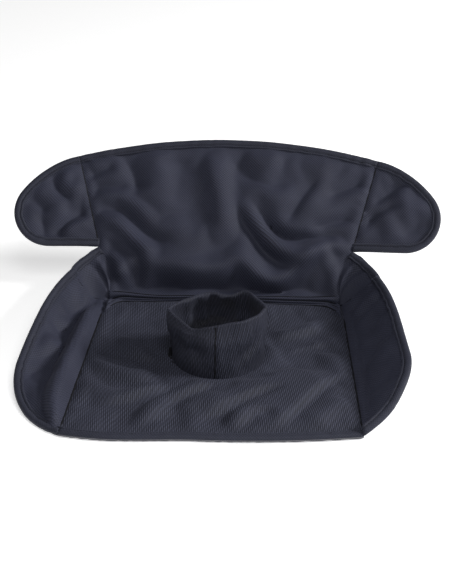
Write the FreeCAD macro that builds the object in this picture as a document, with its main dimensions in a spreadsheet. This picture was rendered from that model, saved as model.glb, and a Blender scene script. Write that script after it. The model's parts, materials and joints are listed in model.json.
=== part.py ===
import FreeCAD, Part
import math
import os
import re
import Sketcher

# Child car-seat liner: a padded seat panel with a fabric cuff round the buckle opening, a leaning
# back panel with two wings, and two side bolsters. Origin: centre of the buckle opening at the
# underside. +X to the right, +Y towards the back, +Z up. Millimetres and degrees.

DIMENSIONS = {
    # laminate, from the underside up
    "backing_thick": 0.8,
    "film_thick": 0.4,
    "foam_thick": 3.0,
    "face_thick": 1.0,
    # folded tape round the outline
    "lip_width": 9.0,
    "tape_wall": 0.8,
    "tape_gap": 0.15,
    # seams that the panels fold about
    "seam_gap": 3.2,
    "cord_radius": 2.2,
    # seat panel
    "hinge_back": 106.0,
    "rear_half": 120.5,
    "front_half": 128.0,
    "side_length": 226.0,
    "front_reach": 136.5,
    "front_radius": 750.0,
    # buckle cuff
    "cuff_radius": 40.0,
    "cuff_ply": 1.5,
    "cuff_height": 57.0,
    "hem_height": 7.0,
    "base_tape_width": 5.5,
    "base_tape_thick": 0.6,
    "front_seam_width": 2.4,
    # back panel
    "lean_angle": 50.0,
    "waist_half": 119.5,
    "waist_radius": 185.0,
    "notch_half": 130.7,
    "notch_up": 56.6,
    "wing_slant": 15.0,
    "wing_radius": 101.8,
    # wings
    "wing_fold": 8.0,
    "wing_turn": 39.5,
    # side bolsters
    "bolster_slope": 50.0,
    "bolster_flat_at": 205.0,
    "bolster_rear_width": 49.0,
    "bolster_width": 58.0,
    "corner_start": 145.0,
    "corner_radius": 88.0,
    "layer_gap": 0.12,
    # pleated corners between the bolsters and the back
    "pleat_gap": 0.4,
    "pleat_offset": 3.0,
}

doc = FreeCAD.newDocument("SeatLiner")
sheet = doc.addObject("Spreadsheet::Sheet", "Dims")
for row, (alias, size) in enumerate(DIMENSIONS.items(), start=1):
    sheet.set(f"A{row}", str(size))
    sheet.setAlias(f"A{row}", alias)
doc.recompute()

# Each layer is its height above the underside and its thickness, as formulas on the sheet's aliases.
LAYERS = {
    "backing": ("0", "backing_thick"),
    "waterproof_film": ("backing_thick", "film_thick"),
    "foam": ("backing_thick + film_thick", "foam_thick"),
    "face_fabric": ("backing_thick + film_thick + foam_thick", "face_thick"),
}
# The outer fabrics stop at the tape's lips; the foam and the film run on into its fold.
EDGE_INSET = {
    "backing": "(lip_width + tape_gap)",
    "waterproof_film": "(tape_wall + tape_gap)",
    "foam": "(tape_wall + tape_gap)",
    "face_fabric": "(lip_width + tape_gap)",
}
LAMINATE = "(backing_thick + film_thick + foam_thick + face_thick)"
SIDE_TAPER = "((front_half - rear_half) / side_length)"
WAY_ALONG_SEAM = ("sin(wing_slant)", "cos(wing_slant)")
WAY_ACROSS_SEAM = ("cos(wing_slant)", "-sin(wing_slant)")

X_AXIS = FreeCAD.Vector(1, 0, 0)
Z_AXIS = FreeCAD.Vector(0, 0, 1)


def bound(formula):
    """Return a formula with each alias written the way an expression names a cell."""
    return re.sub(r"\b(" + "|".join(DIMENSIONS) + r")\b", r"Dims.\1", formula)


def value(formula):
    """Return the number that a formula on the sheet's aliases comes to."""
    return float(sheet.evalExpression(bound(formula)))


def shift(along, up, out):
    """Return a placement that only moves."""
    return FreeCAD.Placement(FreeCAD.Vector(along, up, out), FreeCAD.Rotation())


# ---------------------------------------------------------------- sketches


def corner(x, y, turn=0, radius=None):
    """Return one corner of an outline; turn is 1 or -1 where an arc leads on to the next one."""
    return {"x": x, "y": y, "turn": turn, "radius": radius}


def arc_between(start, end, turn, radius):
    """Return the short arc from start to end, counter-clockwise for turn 1."""
    half = (end - start) * 0.5
    normal = FreeCAD.Vector(-half.y, half.x, 0).normalize() * turn
    centre = start + half + normal * math.sqrt(radius**2 - half.Length**2)
    first, last = (start, end) if turn > 0 else (end, start)
    angles = [math.atan2(p.y - centre.y, p.x - centre.x) for p in (first, last)]
    if angles[1] < angles[0]:
        angles[1] += 2 * math.pi
    return Part.ArcOfCircle(Part.Circle(centre, Z_AXIS, radius), *angles)


def draw_outline(sketch, corners):
    """Draw a closed outline and tie each corner and each radius to the sheet."""
    points = [FreeCAD.Vector(value(c["x"]), value(c["y"]), 0) for c in corners]
    ends = []
    for i, c in enumerate(corners):
        start, end = points[i], points[(i + 1) % len(points)]
        if c["turn"]:
            line = sketch.addGeometry(arc_between(start, end, c["turn"], value(c["radius"])), False)
            tie(sketch, ("Radius", line), c["radius"])
        else:
            line = sketch.addGeometry(Part.LineSegment(start, end), False)
        ends.append((line, 2, 1) if c["turn"] < 0 else (line, 1, 2))
    for i, c in enumerate(corners):
        line, first, last = ends[i]
        following = ends[(i + 1) % len(ends)]
        tie(sketch, ("DistanceX", -1, 1, line, first), c["x"])
        tie(sketch, ("DistanceY", -1, 1, line, first), c["y"])
        sketch.addConstraint(Sketcher.Constraint("Coincident", line, last, following[0], following[1]))


def tie(sketch, constraint, formula):
    """Add a dimension to a sketch and bind it to a formula on the sheet."""
    index = sketch.addConstraint(Sketcher.Constraint(*constraint, value(formula)))
    sketch.setExpression(f"Constraints[{index}]", bound(formula))


def draw_circle(sketch, radius):
    """Draw a circle about the sketch's origin, its radius bound to the sheet."""
    circle = sketch.addGeometry(Part.Circle(FreeCAD.Vector(), Z_AXIS, value(radius)), False)
    sketch.addConstraint(Sketcher.Constraint("Coincident", circle, 3, -1, 1))
    tie(sketch, ("Radius", circle), radius)


def body_sketch(body, name, plane="XY_Plane", height="0"):
    """Return an empty sketch on one of the body's origin planes, raised by a height."""
    origin_plane = next(f for f in body.Origin.OriginFeatures if f.Role == plane)
    sketch = body.newObject("Sketcher::SketchObject", f"{body.Label}_{name}")
    sketch.AttachmentSupport = [(origin_plane, "")]
    sketch.MapMode = "FlatFace"
    if height != "0":
        sketch.setExpression(".AttachmentOffset.Base.z", bound(height))
    return sketch


def pad(body, sketch, length):
    """Pad a sketch by a length bound to the sheet."""
    feature = body.newObject("PartDesign::Pad", f"{sketch.Label}_pad")
    feature.Profile = sketch
    feature.setExpression("Length", bound(length))
    return feature


# ---------------------------------------------------------------- sub-parts

nodes = []


def new_body(label, placement):
    """Add a body to the document and to the list of sub-parts."""
    body = doc.addObject("PartDesign::Body", label)
    body.Label = label
    body.Placement = placement
    nodes.append(body)
    return body


def flat_panel(name, edge, closing, placement, hole=None):
    """Make the four layers of a flat panel; edge(inset) is its bound edge, closing the rest."""
    for layer, (low, thick) in LAYERS.items():
        body = new_body(f"{name}_{layer}", placement * shift(0, 0, value(low)))
        sketch = body_sketch(body, "outline")
        draw_outline(sketch, edge(EDGE_INSET[layer]) + closing)
        if hole:
            draw_circle(sketch, hole)
        pad(body, sketch, thick)


def flat_tape(label, edge, placement):
    """Make the folded tape of a flat panel's bound edge: two lips joined by an outer wall."""
    body = new_body(label, placement)
    lip = edge("0") + back_along(edge("lip_width"))
    wall = edge("0") + back_along(edge("tape_wall"))
    for name, outline, low, thick in (
        ("wall", wall, "0", LAMINATE),
        ("lower_lip", lip, "0", "backing_thick"),
        ("upper_lip", lip, LAYERS["face_fabric"][0], "face_thick"),
    ):
        sketch = body_sketch(body, name, height=low)
        draw_outline(sketch, outline)
        pad(body, sketch, thick)


def back_along(edge):
    """Return an open edge's corners in the opposite order, with each arc turned round."""
    backwards = []
    for i in range(len(edge) - 1, -1, -1):
        before = edge[i - 1] if i else corner("0", "0")
        backwards.append(corner(edge[i]["x"], edge[i]["y"], -before["turn"], before["radius"]))
    return backwards


def seam_cord(label, radius, start, end):
    """Make the rolled seam between two panels as a round cord from start to end."""
    cord = doc.addObject("Part::Cylinder", label)
    cord.Label = label
    cord.setExpression("Radius", bound(radius))
    cord.Height = (end - start).Length
    cord.Placement = FreeCAD.Placement(start, FreeCAD.Rotation(Z_AXIS, end - start))
    nodes.append(cord)
    return cord


def mirrored(source, label):
    """Make the left-hand twin of a right-hand sub-part."""
    twin = doc.addObject("Part::Mirroring", label)
    twin.Label = label
    twin.Source = source
    twin.Normal = X_AXIS
    nodes.append(twin)


def add_left_twins(rights):
    """Mirror every sub-part in the list, with right in its label turned into left."""
    for source in rights:
        mirrored(source, source.Label.replace("right", "left"))


# ---------------------------------------------------------------- seat panel


def seat_side(distance_back, inset="0"):
    """Return the seat's half width, less the seam gap, at a distance in front of the rear seam."""
    return f"rear_half + {SIDE_TAPER} * ({distance_back}) - seam_gap - {inset}"


def seat_edge(inset):
    """Return the front edge of the seat, from left to right, a little inside its outline."""
    radius = f"(front_radius - {inset})"
    half = f"(front_half - seam_gap - {SIDE_TAPER} * {inset})"
    up = f"front_radius - front_reach - sqrt({radius}^2 - {half}^2)"
    return [corner(f"-{half}", up, 1, radius), corner(half, up)]


def make_seat():
    """Make the seat's layers, its front tape and the rolled seam at the rear."""
    rear = "hinge_back - seam_gap"
    rear_half = seat_side("seam_gap")
    closing = [corner(rear_half, rear), corner(f"-({rear_half})", rear)]
    hole = "cuff_radius + 2 * cuff_ply + 2 * tape_gap"
    flat_panel("seat", seat_edge, closing, shift(0, 0, 0), hole)
    flat_tape("seat_front_tape", seat_edge, shift(0, 0, 0))
    half = value("rear_half - seam_gap - tape_gap")
    height = value(LAMINATE) / 2
    seam_cord(
        "rear_seam_tuck",
        "cord_radius",
        FreeCAD.Vector(-half, value("hinge_back"), height),
        FreeCAD.Vector(half, value("hinge_back"), height),
    )


# ---------------------------------------------------------------- buckle cuff


def make_tube(label, inner, low, high):
    """Make one ply of the cuff as a tube between two heights."""
    body = new_body(label, shift(0, 0, 0))
    sketch = body_sketch(body, "ring", height=low)
    draw_circle(sketch, inner)
    draw_circle(sketch, f"{inner} + cuff_ply")
    pad(body, sketch, f"{high} - ({low})")


def make_cuff():
    """Make the doubled cuff wall, its hem, the tape at its foot and its upright seam."""
    wall_inner = "cuff_radius + cuff_ply + tape_gap"
    wall_outer = f"{wall_inner} + cuff_ply"
    hem_low = "cuff_height - hem_height"
    make_tube("cuff_lining", "cuff_radius", "0", f"{hem_low} - tape_gap")
    make_tube("cuff_wall", wall_inner, "0", f"{hem_low} - tape_gap")

    hem = new_body("cuff_hem", shift(0, 0, 0))
    profile = body_sketch(hem, "profile", "XZ_Plane")
    fold = "((2 * cuff_ply + 4 * tape_gap) / 2)"
    outer = f"cuff_radius + 2 * {fold}"
    shoulder = f"cuff_height - {fold}"
    draw_outline(
        profile,
        [
            corner("cuff_radius", hem_low),
            corner(outer, hem_low),
            corner(outer, shoulder, 1, fold),
            corner(f"cuff_radius + {fold}", "cuff_height", 1, fold),
            corner("cuff_radius", shoulder),
        ],
    )
    turned = hem.newObject("PartDesign::Revolution", "cuff_hem_turned")
    turned.Profile = profile
    turned.ReferenceAxis = (profile, ["V_Axis"])
    turned.Angle = 360

    foot = new_body("cuff_foot_tape", shift(0, 0, 0))
    ring = body_sketch(foot, "ring", height=LAMINATE)
    draw_circle(ring, f"{wall_outer} + 2 * tape_gap")
    draw_circle(ring, f"{wall_outer} + base_tape_width")
    pad(foot, ring, "base_tape_thick")

    seam = new_body("cuff_front_seam", shift(0, 0, 0))
    strip = body_sketch(seam, "strip", height=f"{LAMINATE} + 2 * base_tape_thick")
    near = f"-({wall_outer} + tape_gap)"
    far = f"{near} - base_tape_thick"
    half = "front_seam_width / 2"
    outline = [corner(f"-{half}", far), corner(half, far), corner(half, near), corner(f"-{half}", near)]
    draw_outline(strip, outline)
    pad(seam, strip, f"{hem_low} - {LAMINATE} - 3 * base_tape_thick")


# ---------------------------------------------------------------- back panel and wings


def beside_seam(centre_x, centre_y, radius, offset):
    """Return the point at a radius from a centre on the wing seam, offset to one side of the seam."""
    along = f"sqrt(({radius})^2 - ({offset})^2)"
    x = f"{centre_x} + {along} * {WAY_ALONG_SEAM[0]} + ({offset}) * {WAY_ACROSS_SEAM[0]}"
    y = f"{centre_y} + {along} * {WAY_ALONG_SEAM[1]} + ({offset}) * ({WAY_ACROSS_SEAM[1]})"
    return x, y


def back_edge(inset):
    """Return the crown of the back from right to left; both wing seams point at its centre."""
    radius = f"(wing_radius + notch_half / sin(wing_slant) - {inset})"
    centre = "(notch_up - notch_half / tan(wing_slant))"
    x, y = beside_seam("0", centre, radius, "-seam_gap")
    return [corner(x, y, 1, radius), corner(f"-({x})", y)]


def wing_edge(inset):
    """Return the edge of the right wing, from the foot of its seam round the tip to the top."""
    radius = f"(wing_radius - {inset})"
    rise = "(90 - wing_slant - wing_turn)"
    tip_radius = f"(wing_radius * sin({rise}) / (1 + sin({rise})))"
    reach = f"(wing_radius - {tip_radius})"
    foot_along = f"(({inset} + seam_gap * sin(wing_slant)) / cos(wing_slant))"
    foot_x = f"notch_half + {foot_along} * sin(wing_slant) + seam_gap * cos(wing_slant)"
    top_x, top_y = beside_seam("notch_half", "notch_up", radius, "seam_gap")
    shoulder_x = f"notch_half + {radius} * cos({rise})"
    shoulder_y = f"notch_up + {radius} * sin({rise})"
    return [
        corner(foot_x, f"notch_up + {inset}"),
        corner(f"notch_half + {reach} * cos({rise})", f"notch_up + {inset}", 1, f"({tip_radius} - {inset})"),
        corner(shoulder_x, shoulder_y, 1, radius),
        corner(top_x, top_y),
    ]


def back_placement():
    """Return the place of the flat back drawing: its start on the hinge line, leaning back."""
    half = value(LAMINATE) / 2
    leaning = FreeCAD.Rotation(X_AXIS, value("lean_angle"))
    hinge = FreeCAD.Placement(FreeCAD.Vector(0, value("hinge_back"), half), leaning)
    return hinge * shift(0, 0, -half)


def wing_placement():
    """Return the place of the right wing's flat drawing, folded forward about its seam."""
    half = value(LAMINATE) / 2
    foot = FreeCAD.Vector(value("notch_half"), value("notch_up"), half)
    along = FreeCAD.Vector(value(WAY_ALONG_SEAM[0]), value(WAY_ALONG_SEAM[1]), 0)
    fold = FreeCAD.Placement(FreeCAD.Vector(), FreeCAD.Rotation(along, -value("wing_fold")))
    return back_placement() * shift(*foot) * fold * shift(*(foot * -1))


def make_back():
    """Make the back's layers, the tape on its crown and the right wing seam."""
    place = back_placement()
    x, y = f"notch_half - seam_gap * cos(wing_slant)", "notch_up + seam_gap * sin(wing_slant)"
    closing = [
        corner(f"-({x})", y, -1, "waist_radius"),
        corner("-waist_half", "seam_gap"),
        corner("waist_half", "seam_gap", -1, "waist_radius"),
        corner(x, y),
    ]
    flat_panel("back", back_edge, closing, place)
    flat_tape("back_top_tape", back_edge, place)
    middle = value(LAMINATE) / 2
    start = FreeCAD.Vector(value("notch_half"), value("notch_up"), middle)
    along = FreeCAD.Vector(value(WAY_ALONG_SEAM[0]), value(WAY_ALONG_SEAM[1]), 0)
    end = start + along * value("wing_radius - lip_width - seam_gap")
    start = start + along * value("seam_gap")
    return seam_cord("right_wing_seam", "cord_radius", place.multVec(start), place.multVec(end))


def make_right_wing():
    """Make the right wing's layers and the tape round it; returns its sub-parts."""
    first = len(nodes)
    flat_panel("right_wing", wing_edge, [], wing_placement())
    flat_tape("right_wing_tape", wing_edge, wing_placement())
    return nodes[first:]


# ---------------------------------------------------------------- side bolsters


def side_frame():
    """Return the rear end of the right side seam, the way forward along it and the way out."""
    start = FreeCAD.Vector(value("rear_half"), value("hinge_back"), value(LAMINATE) / 2)
    forward = FreeCAD.Vector(value("front_half - rear_half"), -value("side_length"), 0).normalize()
    outward = Z_AXIS.cross(forward)
    return start, forward, outward


def bolster_slope(distance):
    """Return the bolster's slope in radians, which runs out towards the front."""
    return math.radians(value("bolster_slope")) * max(0, 1 - distance / value("bolster_flat_at"))


def bolster_point(across, distance):
    """Return the point of the bolster's middle surface that far from the seam and from its rear."""
    start, forward, outward = side_frame()
    slope = bolster_slope(distance)
    way_up = outward * math.cos(slope) + Z_AXIS * math.sin(slope)
    return start + forward * distance + way_up * across


def bolster_sections():
    """Return (start, end, normal) of each section: square to the seam, then fanned round the corner."""
    gap, width, begin = value("seam_gap"), value("bolster_width"), value("corner_start")
    radius = value("corner_radius")
    centre = width - radius
    flat = [((gap, gap), (value("bolster_rear_width"), gap))]
    flat += [((gap, d), (width - ease, d)) for d, ease in ((begin * 0.24, 2), (begin * 0.6, 0))]
    for angle in map(math.radians, (0, 20, 40, 60)):
        inner = (gap, begin + (gap - centre) * math.tan(angle))
        outer = (centre + radius * math.cos(angle), begin + radius * math.sin(angle))
        flat.append((inner, outer))
    nose = begin + math.sqrt(radius**2 - (gap - centre) ** 2)
    flat.append(((gap, flat[-1][0][1] + gap), (gap, nose)))
    sections = []
    for inner, outer in flat:
        start, end = bolster_point(*inner), bolster_point(*outer)
        slope = bolster_slope((inner[1] + outer[1]) / 2)
        normal = Z_AXIS * math.cos(slope) - side_frame()[2] * math.sin(slope)
        sections.append((start, end, normal))
    return sections


def section_sketch(name, section, outline):
    """Draw an outline in a section's plane: x runs from its start to its end, y along its normal."""
    start, end, normal = section
    along = (end - start).normalize()
    square = (normal - along * along.dot(normal)).normalize()
    sketch = doc.addObject("Sketcher::SketchObject", name)
    sketch.Placement = FreeCAD.Placement(start, FreeCAD.Rotation(along, square, along.cross(square)))
    draw_outline(sketch, outline)
    return sketch


def loft(label, sections, outline_for):
    """Join straight-sided sections into one solid; outline_for gives each one's outline."""
    piece = doc.addObject("Part::Loft", label)
    piece.Label = label
    outlines = [outline_for((end - start).Length) for start, end, _ in sections]
    piece.Sections = [
        section_sketch(f"{label}_section_{i}", section, outline)
        for i, (section, outline) in enumerate(zip(sections, outlines))
    ]
    piece.Solid = True
    piece.Ruled = True
    nodes.append(piece)
    return piece


def layer_outline(layer):
    """Return a function that gives a layer's section for a bolster section of some length."""
    low, thick = LAYERS[layer]
    bottom = f"{low} - {LAMINATE} / 2 + layer_gap / 2"
    top = f"{low} + {thick} - {LAMINATE} / 2 - layer_gap / 2"

    def outline(length):
        far = f"{length} - {EDGE_INSET[layer]}"
        return [corner("0", bottom), corner(far, bottom), corner(far, top), corner("0", top)]

    return outline


def tape_outline(length):
    """Return the folded tape's section at the outer end of a bolster section."""
    under, over = f"-{LAMINATE} / 2", f"{LAMINATE} / 2"
    floor, roof = f"{under} + backing_thick", f"{over} - face_thick"
    lip, wall = f"{length} - lip_width", f"{length} - tape_wall"
    return [
        corner(f"{length}", under),
        corner(f"{length}", over),
        corner(lip, over),
        corner(lip, roof),
        corner(wall, roof),
        corner(wall, floor),
        corner(lip, floor),
        corner(lip, under),
    ]


def make_right_bolster():
    """Make the right bolster's layers, the tape round it and its seam to the seat."""
    first = len(nodes)
    sections = bolster_sections()
    for layer in LAYERS:
        loft(f"right_bolster_{layer}", sections, layer_outline(layer))
    loft("right_bolster_tape", sections, tape_outline)
    start, forward, _ = side_frame()
    end = start + forward * value("side_length - lip_width - 2 * seam_gap")
    start = start + forward * value("seam_gap + pleat_gap")
    seam_cord("right_side_seam", "cord_radius", start, end)
    return nodes[first:]


def make_right_corner():
    """Make the pleated corner that joins the bolster's rear end to the back, and its tape."""
    first = len(nodes)
    start, end, normal = bolster_sections()[0]
    behind = side_frame()[1] * -value("pleat_gap")
    front_section = (start + behind, end + behind, normal)

    place = back_placement()
    middle = value(LAMINATE) / 2
    low = place.multVec(FreeCAD.Vector(value("waist_half + pleat_offset"), value("seam_gap"), middle))
    high = FreeCAD.Vector(value("notch_half"), value("notch_up - seam_gap"), middle)
    high = place.multVec(high)
    facing = (end - low).cross(high - low).normalize()
    rear_section = (low, high, facing)

    def pleat_outline(length):
        far = f"{length} - {EDGE_INSET['face_fabric']}"
        under, over = f"-{LAMINATE} / 2", f"{LAMINATE} / 2"
        return [corner("0", under), corner(far, under), corner(far, over), corner("0", over)]

    loft("right_corner_pleat", [front_section, rear_section], pleat_outline)
    loft("right_corner_tape", [front_section, rear_section], tape_outline)
    return nodes[first:]


# ---------------------------------------------------------------- the whole liner

make_seat()
make_cuff()
rights = [make_back()]
rights += make_right_wing()
rights += make_right_bolster()
rights += make_right_corner()
add_left_twins(rights)
doc.recompute()

for thing in doc.Objects:
    if "Invalid" in thing.State or "Error" in thing.State:
        raise RuntimeError(f"{thing.Label} failed: {thing.State}")
os.makedirs("parts", exist_ok=True)
for node in nodes:
    if node.Shape.isNull() or not node.Shape.isValid() or len(node.Shape.Solids) != 1:
        raise RuntimeError(f"{node.Label} isn't one valid solid")
    node.Shape.exportStep(f"parts/{node.Label}.step")
print(len(nodes), "sub-parts")
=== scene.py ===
"""The looks of a child car-seat liner with a buckle cuff: cloth, padding, bindings and seams.

Each panel starts as the flat cut of its cloth. The cut is filled with an even mesh, put in the
frame, creased, and built up in layers. Lengths are in millimetres until cloth_mesh() makes metres.
"""

import json
import math
from functools import partial

import bpy
import numpy as np
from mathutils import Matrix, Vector
from mathutils.geometry import delaunay_2d_cdt


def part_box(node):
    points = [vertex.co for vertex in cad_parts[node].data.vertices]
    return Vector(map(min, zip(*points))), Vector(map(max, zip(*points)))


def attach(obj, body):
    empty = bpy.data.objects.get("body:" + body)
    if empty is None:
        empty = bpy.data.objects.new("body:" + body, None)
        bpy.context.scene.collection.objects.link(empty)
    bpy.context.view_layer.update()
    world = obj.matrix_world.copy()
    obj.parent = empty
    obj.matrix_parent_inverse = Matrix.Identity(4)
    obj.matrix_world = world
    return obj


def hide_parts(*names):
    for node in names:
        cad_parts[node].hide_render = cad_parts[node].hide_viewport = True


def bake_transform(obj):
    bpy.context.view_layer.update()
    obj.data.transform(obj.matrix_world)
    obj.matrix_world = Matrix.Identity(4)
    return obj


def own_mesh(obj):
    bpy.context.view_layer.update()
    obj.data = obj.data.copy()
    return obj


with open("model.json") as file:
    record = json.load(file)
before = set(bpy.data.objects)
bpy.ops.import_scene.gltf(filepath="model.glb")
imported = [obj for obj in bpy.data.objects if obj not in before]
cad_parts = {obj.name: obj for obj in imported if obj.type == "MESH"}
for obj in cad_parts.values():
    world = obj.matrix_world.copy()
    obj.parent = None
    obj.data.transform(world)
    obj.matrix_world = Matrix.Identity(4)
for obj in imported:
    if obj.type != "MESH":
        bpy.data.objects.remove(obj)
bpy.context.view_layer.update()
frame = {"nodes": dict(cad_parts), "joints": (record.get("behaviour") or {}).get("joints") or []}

MM = 0.001
JOINTS = {joint["name"]: joint for joint in frame["joints"]}


# ---------------------------------------------------------------- measures taken from the frame


def joint_at(name):
    """Return a joint's place in millimetres."""
    return np.array(JOINTS[name]["pos_m"], float) / MM


def joint_axis(name):
    """Return the unit vector along a joint."""
    axis = np.array(JOINTS[name]["axis"], float)
    return axis / np.linalg.norm(axis)


HINGE = joint_at("back_fold")
HALF = HINGE[2]  # half the laminate's thickness: the seams lie in its middle
UP_WING_SEAM = -joint_axis("right_wing_fold")
LEAN = math.atan2(UP_WING_SEAM[2], UP_WING_SEAM[1])
SLANT = math.asin(UP_WING_SEAM[0])
NOTCH = np.array(
    [joint_at("right_wing_fold")[0], np.linalg.norm(joint_at("right_wing_fold")[1:] - HINGE[1:])]
)
SIDE_START = joint_at("right_bolster_fold")
FORWARD = joint_axis("right_bolster_fold")[:2]
OUTWARD = np.array([-FORWARD[1], FORWARD[0]])
FRONT_REACH = -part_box("seat_front_tape")[0].y / MM
CUFF_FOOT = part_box("cuff_wall")[1].x / MM
HEM_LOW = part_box("cuff_hem")[0].z / MM
SEAT_TOP = 2 * HALF

# Driving dimensions of the cut that the frame doesn't state.
WING_RADIUS = 101.8
WING_REST_FOLD = math.radians(8)
WING_TIP_ANGLE = math.radians(35.5)
WAIST_BOW = 68.0
FRONT_BOW = 750.0
BOLSTER_WIDTH = 58.0
BOLSTER_REAR_EASE = 9.0
BOLSTER_FULL_AT = 87.0
BOLSTER_SLOPE = {"left": math.radians(50), "right": math.radians(44)}
BOLSTER_FLAT_AT = {"left": 205.0, "right": 640.0}
BOLSTER_STRIP = {"left": 1.0, "right": 0.42}  # how wide the pad beside the seam is
BOLSTER_PAD = {"left": 0.5, "right": 0.14}  # the pad's height to its width
PAD_MOST = 14.0  # the pad is never higher
PAD_WIDE_AT = 205.0  # how far in front of the rear end the pad is widest
WALL_TURN = 4.0  # how softly the wall turns up from the pad
BOLSTER_HOLLOW = {"left": 2.3, "right": 1.0}  # above 1, the wall is hollow
FRONT_PULL = 9.0  # how far the front left corner lies forward
WING_DROOP = 3.0  # how far a wing's cloth hangs below its plane
CORNER_START = 145.0
BOLSTER_GAP = 3.2
TAPE_WIDTH = 9.0
STITCH_INSET = 6.1  # how far in from the edge the tape is sewn
STITCH_HEIGHT = 1.75

# The cloth simulation: how much too large the cloth is cut, how it is held, and its limits.
SIM_SLACK = 0.03
SIM_HOLD = 0.02
SIM_BENDING = 0.3
SIM_CAP = 3.0
SIM_FRAMES = 20

CROWN_RADIUS = WING_RADIUS + NOTCH[0] / math.sin(SLANT)
CROWN_CENTRE = np.array([0, NOTCH[1] - NOTCH[0] / math.tan(SLANT)])
SEAM_UP = np.array([math.sin(SLANT), math.cos(SLANT)])
SEAM_OUT = np.array([math.cos(SLANT), -math.sin(SLANT)])
WING_TOP = NOTCH + WING_RADIUS * SEAM_UP
TIP_RADIUS = WING_RADIUS * math.sin(WING_TIP_ANGLE) / (1 + math.sin(WING_TIP_ANGLE))
TIP_CENTRE = NOTCH + (WING_RADIUS - TIP_RADIUS) * np.array(
    [math.cos(WING_TIP_ANGLE), math.sin(WING_TIP_ANGLE)]
)
MIRROR = np.array([-1.0, 1.0])
SIDES = {"left": -1, "right": 1}


# ---------------------------------------------------------------- flat outlines


def smooth(share):
    """Return the share from 0 to 1 with a soft start and end."""
    share = np.clip(share, 0, 1)
    return share * share * (3 - 2 * share)


def unit(vectors):
    """Return the vectors with a length of one."""
    return vectors / np.linalg.norm(vectors, axis=-1, keepdims=True)


def travelled(run):
    """Return how far along a line each of its points is."""
    return np.concatenate([[0], np.cumsum(np.linalg.norm(np.diff(run, axis=0), axis=1))])


def line(start, end, step=2.6):
    """Return points along a straight line."""
    start, end = np.asarray(start, float), np.asarray(end, float)
    count = max(2, math.ceil(np.linalg.norm(end - start) / step) + 1)
    return start + (end - start) * np.linspace(0, 1, count)[:, None]


def arc(centre, radius, start, end, step=2.6):
    """Return points along an arc between two angles in radians."""
    count = max(2, math.ceil(abs(end - start) * radius / step) + 1)
    angles = np.linspace(start, end, count)
    return np.asarray(centre) + radius * np.stack([np.cos(angles), np.sin(angles)], axis=1)


def bowed(start, end, radius):
    """Return points along the arc of that radius that bows to the left of the way that it goes."""
    start, end = np.asarray(start, float), np.asarray(end, float)
    half = (end - start) / 2
    reach = np.linalg.norm(half)
    away = np.array([half[1], -half[0]]) / reach * math.sqrt(radius**2 - reach**2)
    centre = (start + end) / 2 + away
    first = math.atan2(*(start - centre)[::-1])
    turn = 2 * math.asin(reach / radius)
    return arc(centre, radius, first, first - turn)


def joined(*runs):
    """Return the runs as one line, without the points that they share."""
    kept = [runs[0]]
    for run in runs[1:]:
        kept.append(run[1:] if np.allclose(kept[-1][-1], run[0], atol=0.01) else run)
    return np.concatenate(kept)


def mirrored(run):
    """Return a flat line mirrored to the other side, going the other way."""
    return (run * MIRROR)[::-1]


def spline(points, count=24):
    """Return a smooth curve through the points."""
    points = np.asarray(points, float)
    ends = [2 * points[0] - points[1], *points, 2 * points[-1] - points[-2]]
    at = np.linspace(0, len(points) - 1, count)
    first = np.minimum(at.astype(int), len(points) - 2)
    t = (at - first)[:, None]
    a, b, c, d = (np.array(ends)[first + k] for k in range(4))
    return 0.5 * (
        2 * b + (c - a) * t + (2 * a - 5 * b + 4 * c - d) * t**2 + (3 * b - a - 3 * c + d) * t**3
    )


def beside(points, run):
    """Return each point's distance from a line, its place along it from 0 to 1, and its side."""
    lengths = np.linalg.norm(np.diff(run, axis=0), axis=1)
    reached = np.concatenate([[0], np.cumsum(lengths)])
    gap = np.full(len(points), np.inf)
    along, side = np.zeros(len(points)), np.zeros(len(points))
    for start, end, length, before in zip(run[:-1], run[1:], lengths, reached):
        way = end - start
        t = np.clip((points - start) @ way / max(length**2, 1e-9), 0, 1)
        off = points - start - t[:, None] * way
        distance = np.hypot(off[:, 0], off[:, 1])
        nearer = distance < gap
        gap[nearer] = distance[nearer]
        along[nearer] = (before + t * length)[nearer] / reached[-1]
        side[nearer] = np.sign(way[0] * off[:, 1] - way[1] * off[:, 0])[nearer]
    return gap, along, side


def inside(points, outline):
    """Say which points lie inside a closed outline."""
    within = np.zeros(len(points), bool)
    for a, b in zip(outline, np.roll(outline, -1, axis=0)):
        crosses = (a[1] > points[:, 1]) != (b[1] > points[:, 1])
        rise = b[1] - a[1] if abs(b[1] - a[1]) > 1e-12 else 1e-12
        within ^= crosses & (points[:, 0] < a[0] + (points[:, 1] - a[1]) / rise * (b[0] - a[0]))
    return within


def filled(outline, step, hole=None):
    """Return an even mesh of a flat outline: its points and its triangles, which turn to the left."""
    rows = np.arange(outline[:, 1].min(), outline[:, 1].max(), step * math.sqrt(3) / 2)
    across = np.arange(outline[:, 0].min(), outline[:, 0].max() + step, step)
    grid = np.array([(x + step / 2 * (k % 2), y) for k, y in enumerate(rows) for x in across])
    loops = [outline] if hole is None else [outline, hole]
    wanted = inside(grid, outline)
    if hole is not None:
        wanted &= ~inside(grid, hole)
    for loop in loops:
        closed = np.concatenate([loop, loop[:1]])
        wanted &= beside(grid, closed)[0] > 0.55 * step
    points = np.concatenate([*loops, grid[wanted]])
    edges, first = [], 0
    for loop in loops:
        edges += [(first + k, first + (k + 1) % len(loop)) for k in range(len(loop))]
        first += len(loop)
    made = delaunay_2d_cdt([Vector(p) for p in points], edges, [], 0, 1e-6)
    points, triangles = np.array([tuple(p) for p in made[0]]), np.array(made[2])
    middles = points[triangles].mean(axis=1)
    kept = inside(middles, outline)
    if hole is not None:
        kept &= ~inside(middles, hole)
    return points, triangles[kept]


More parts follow.
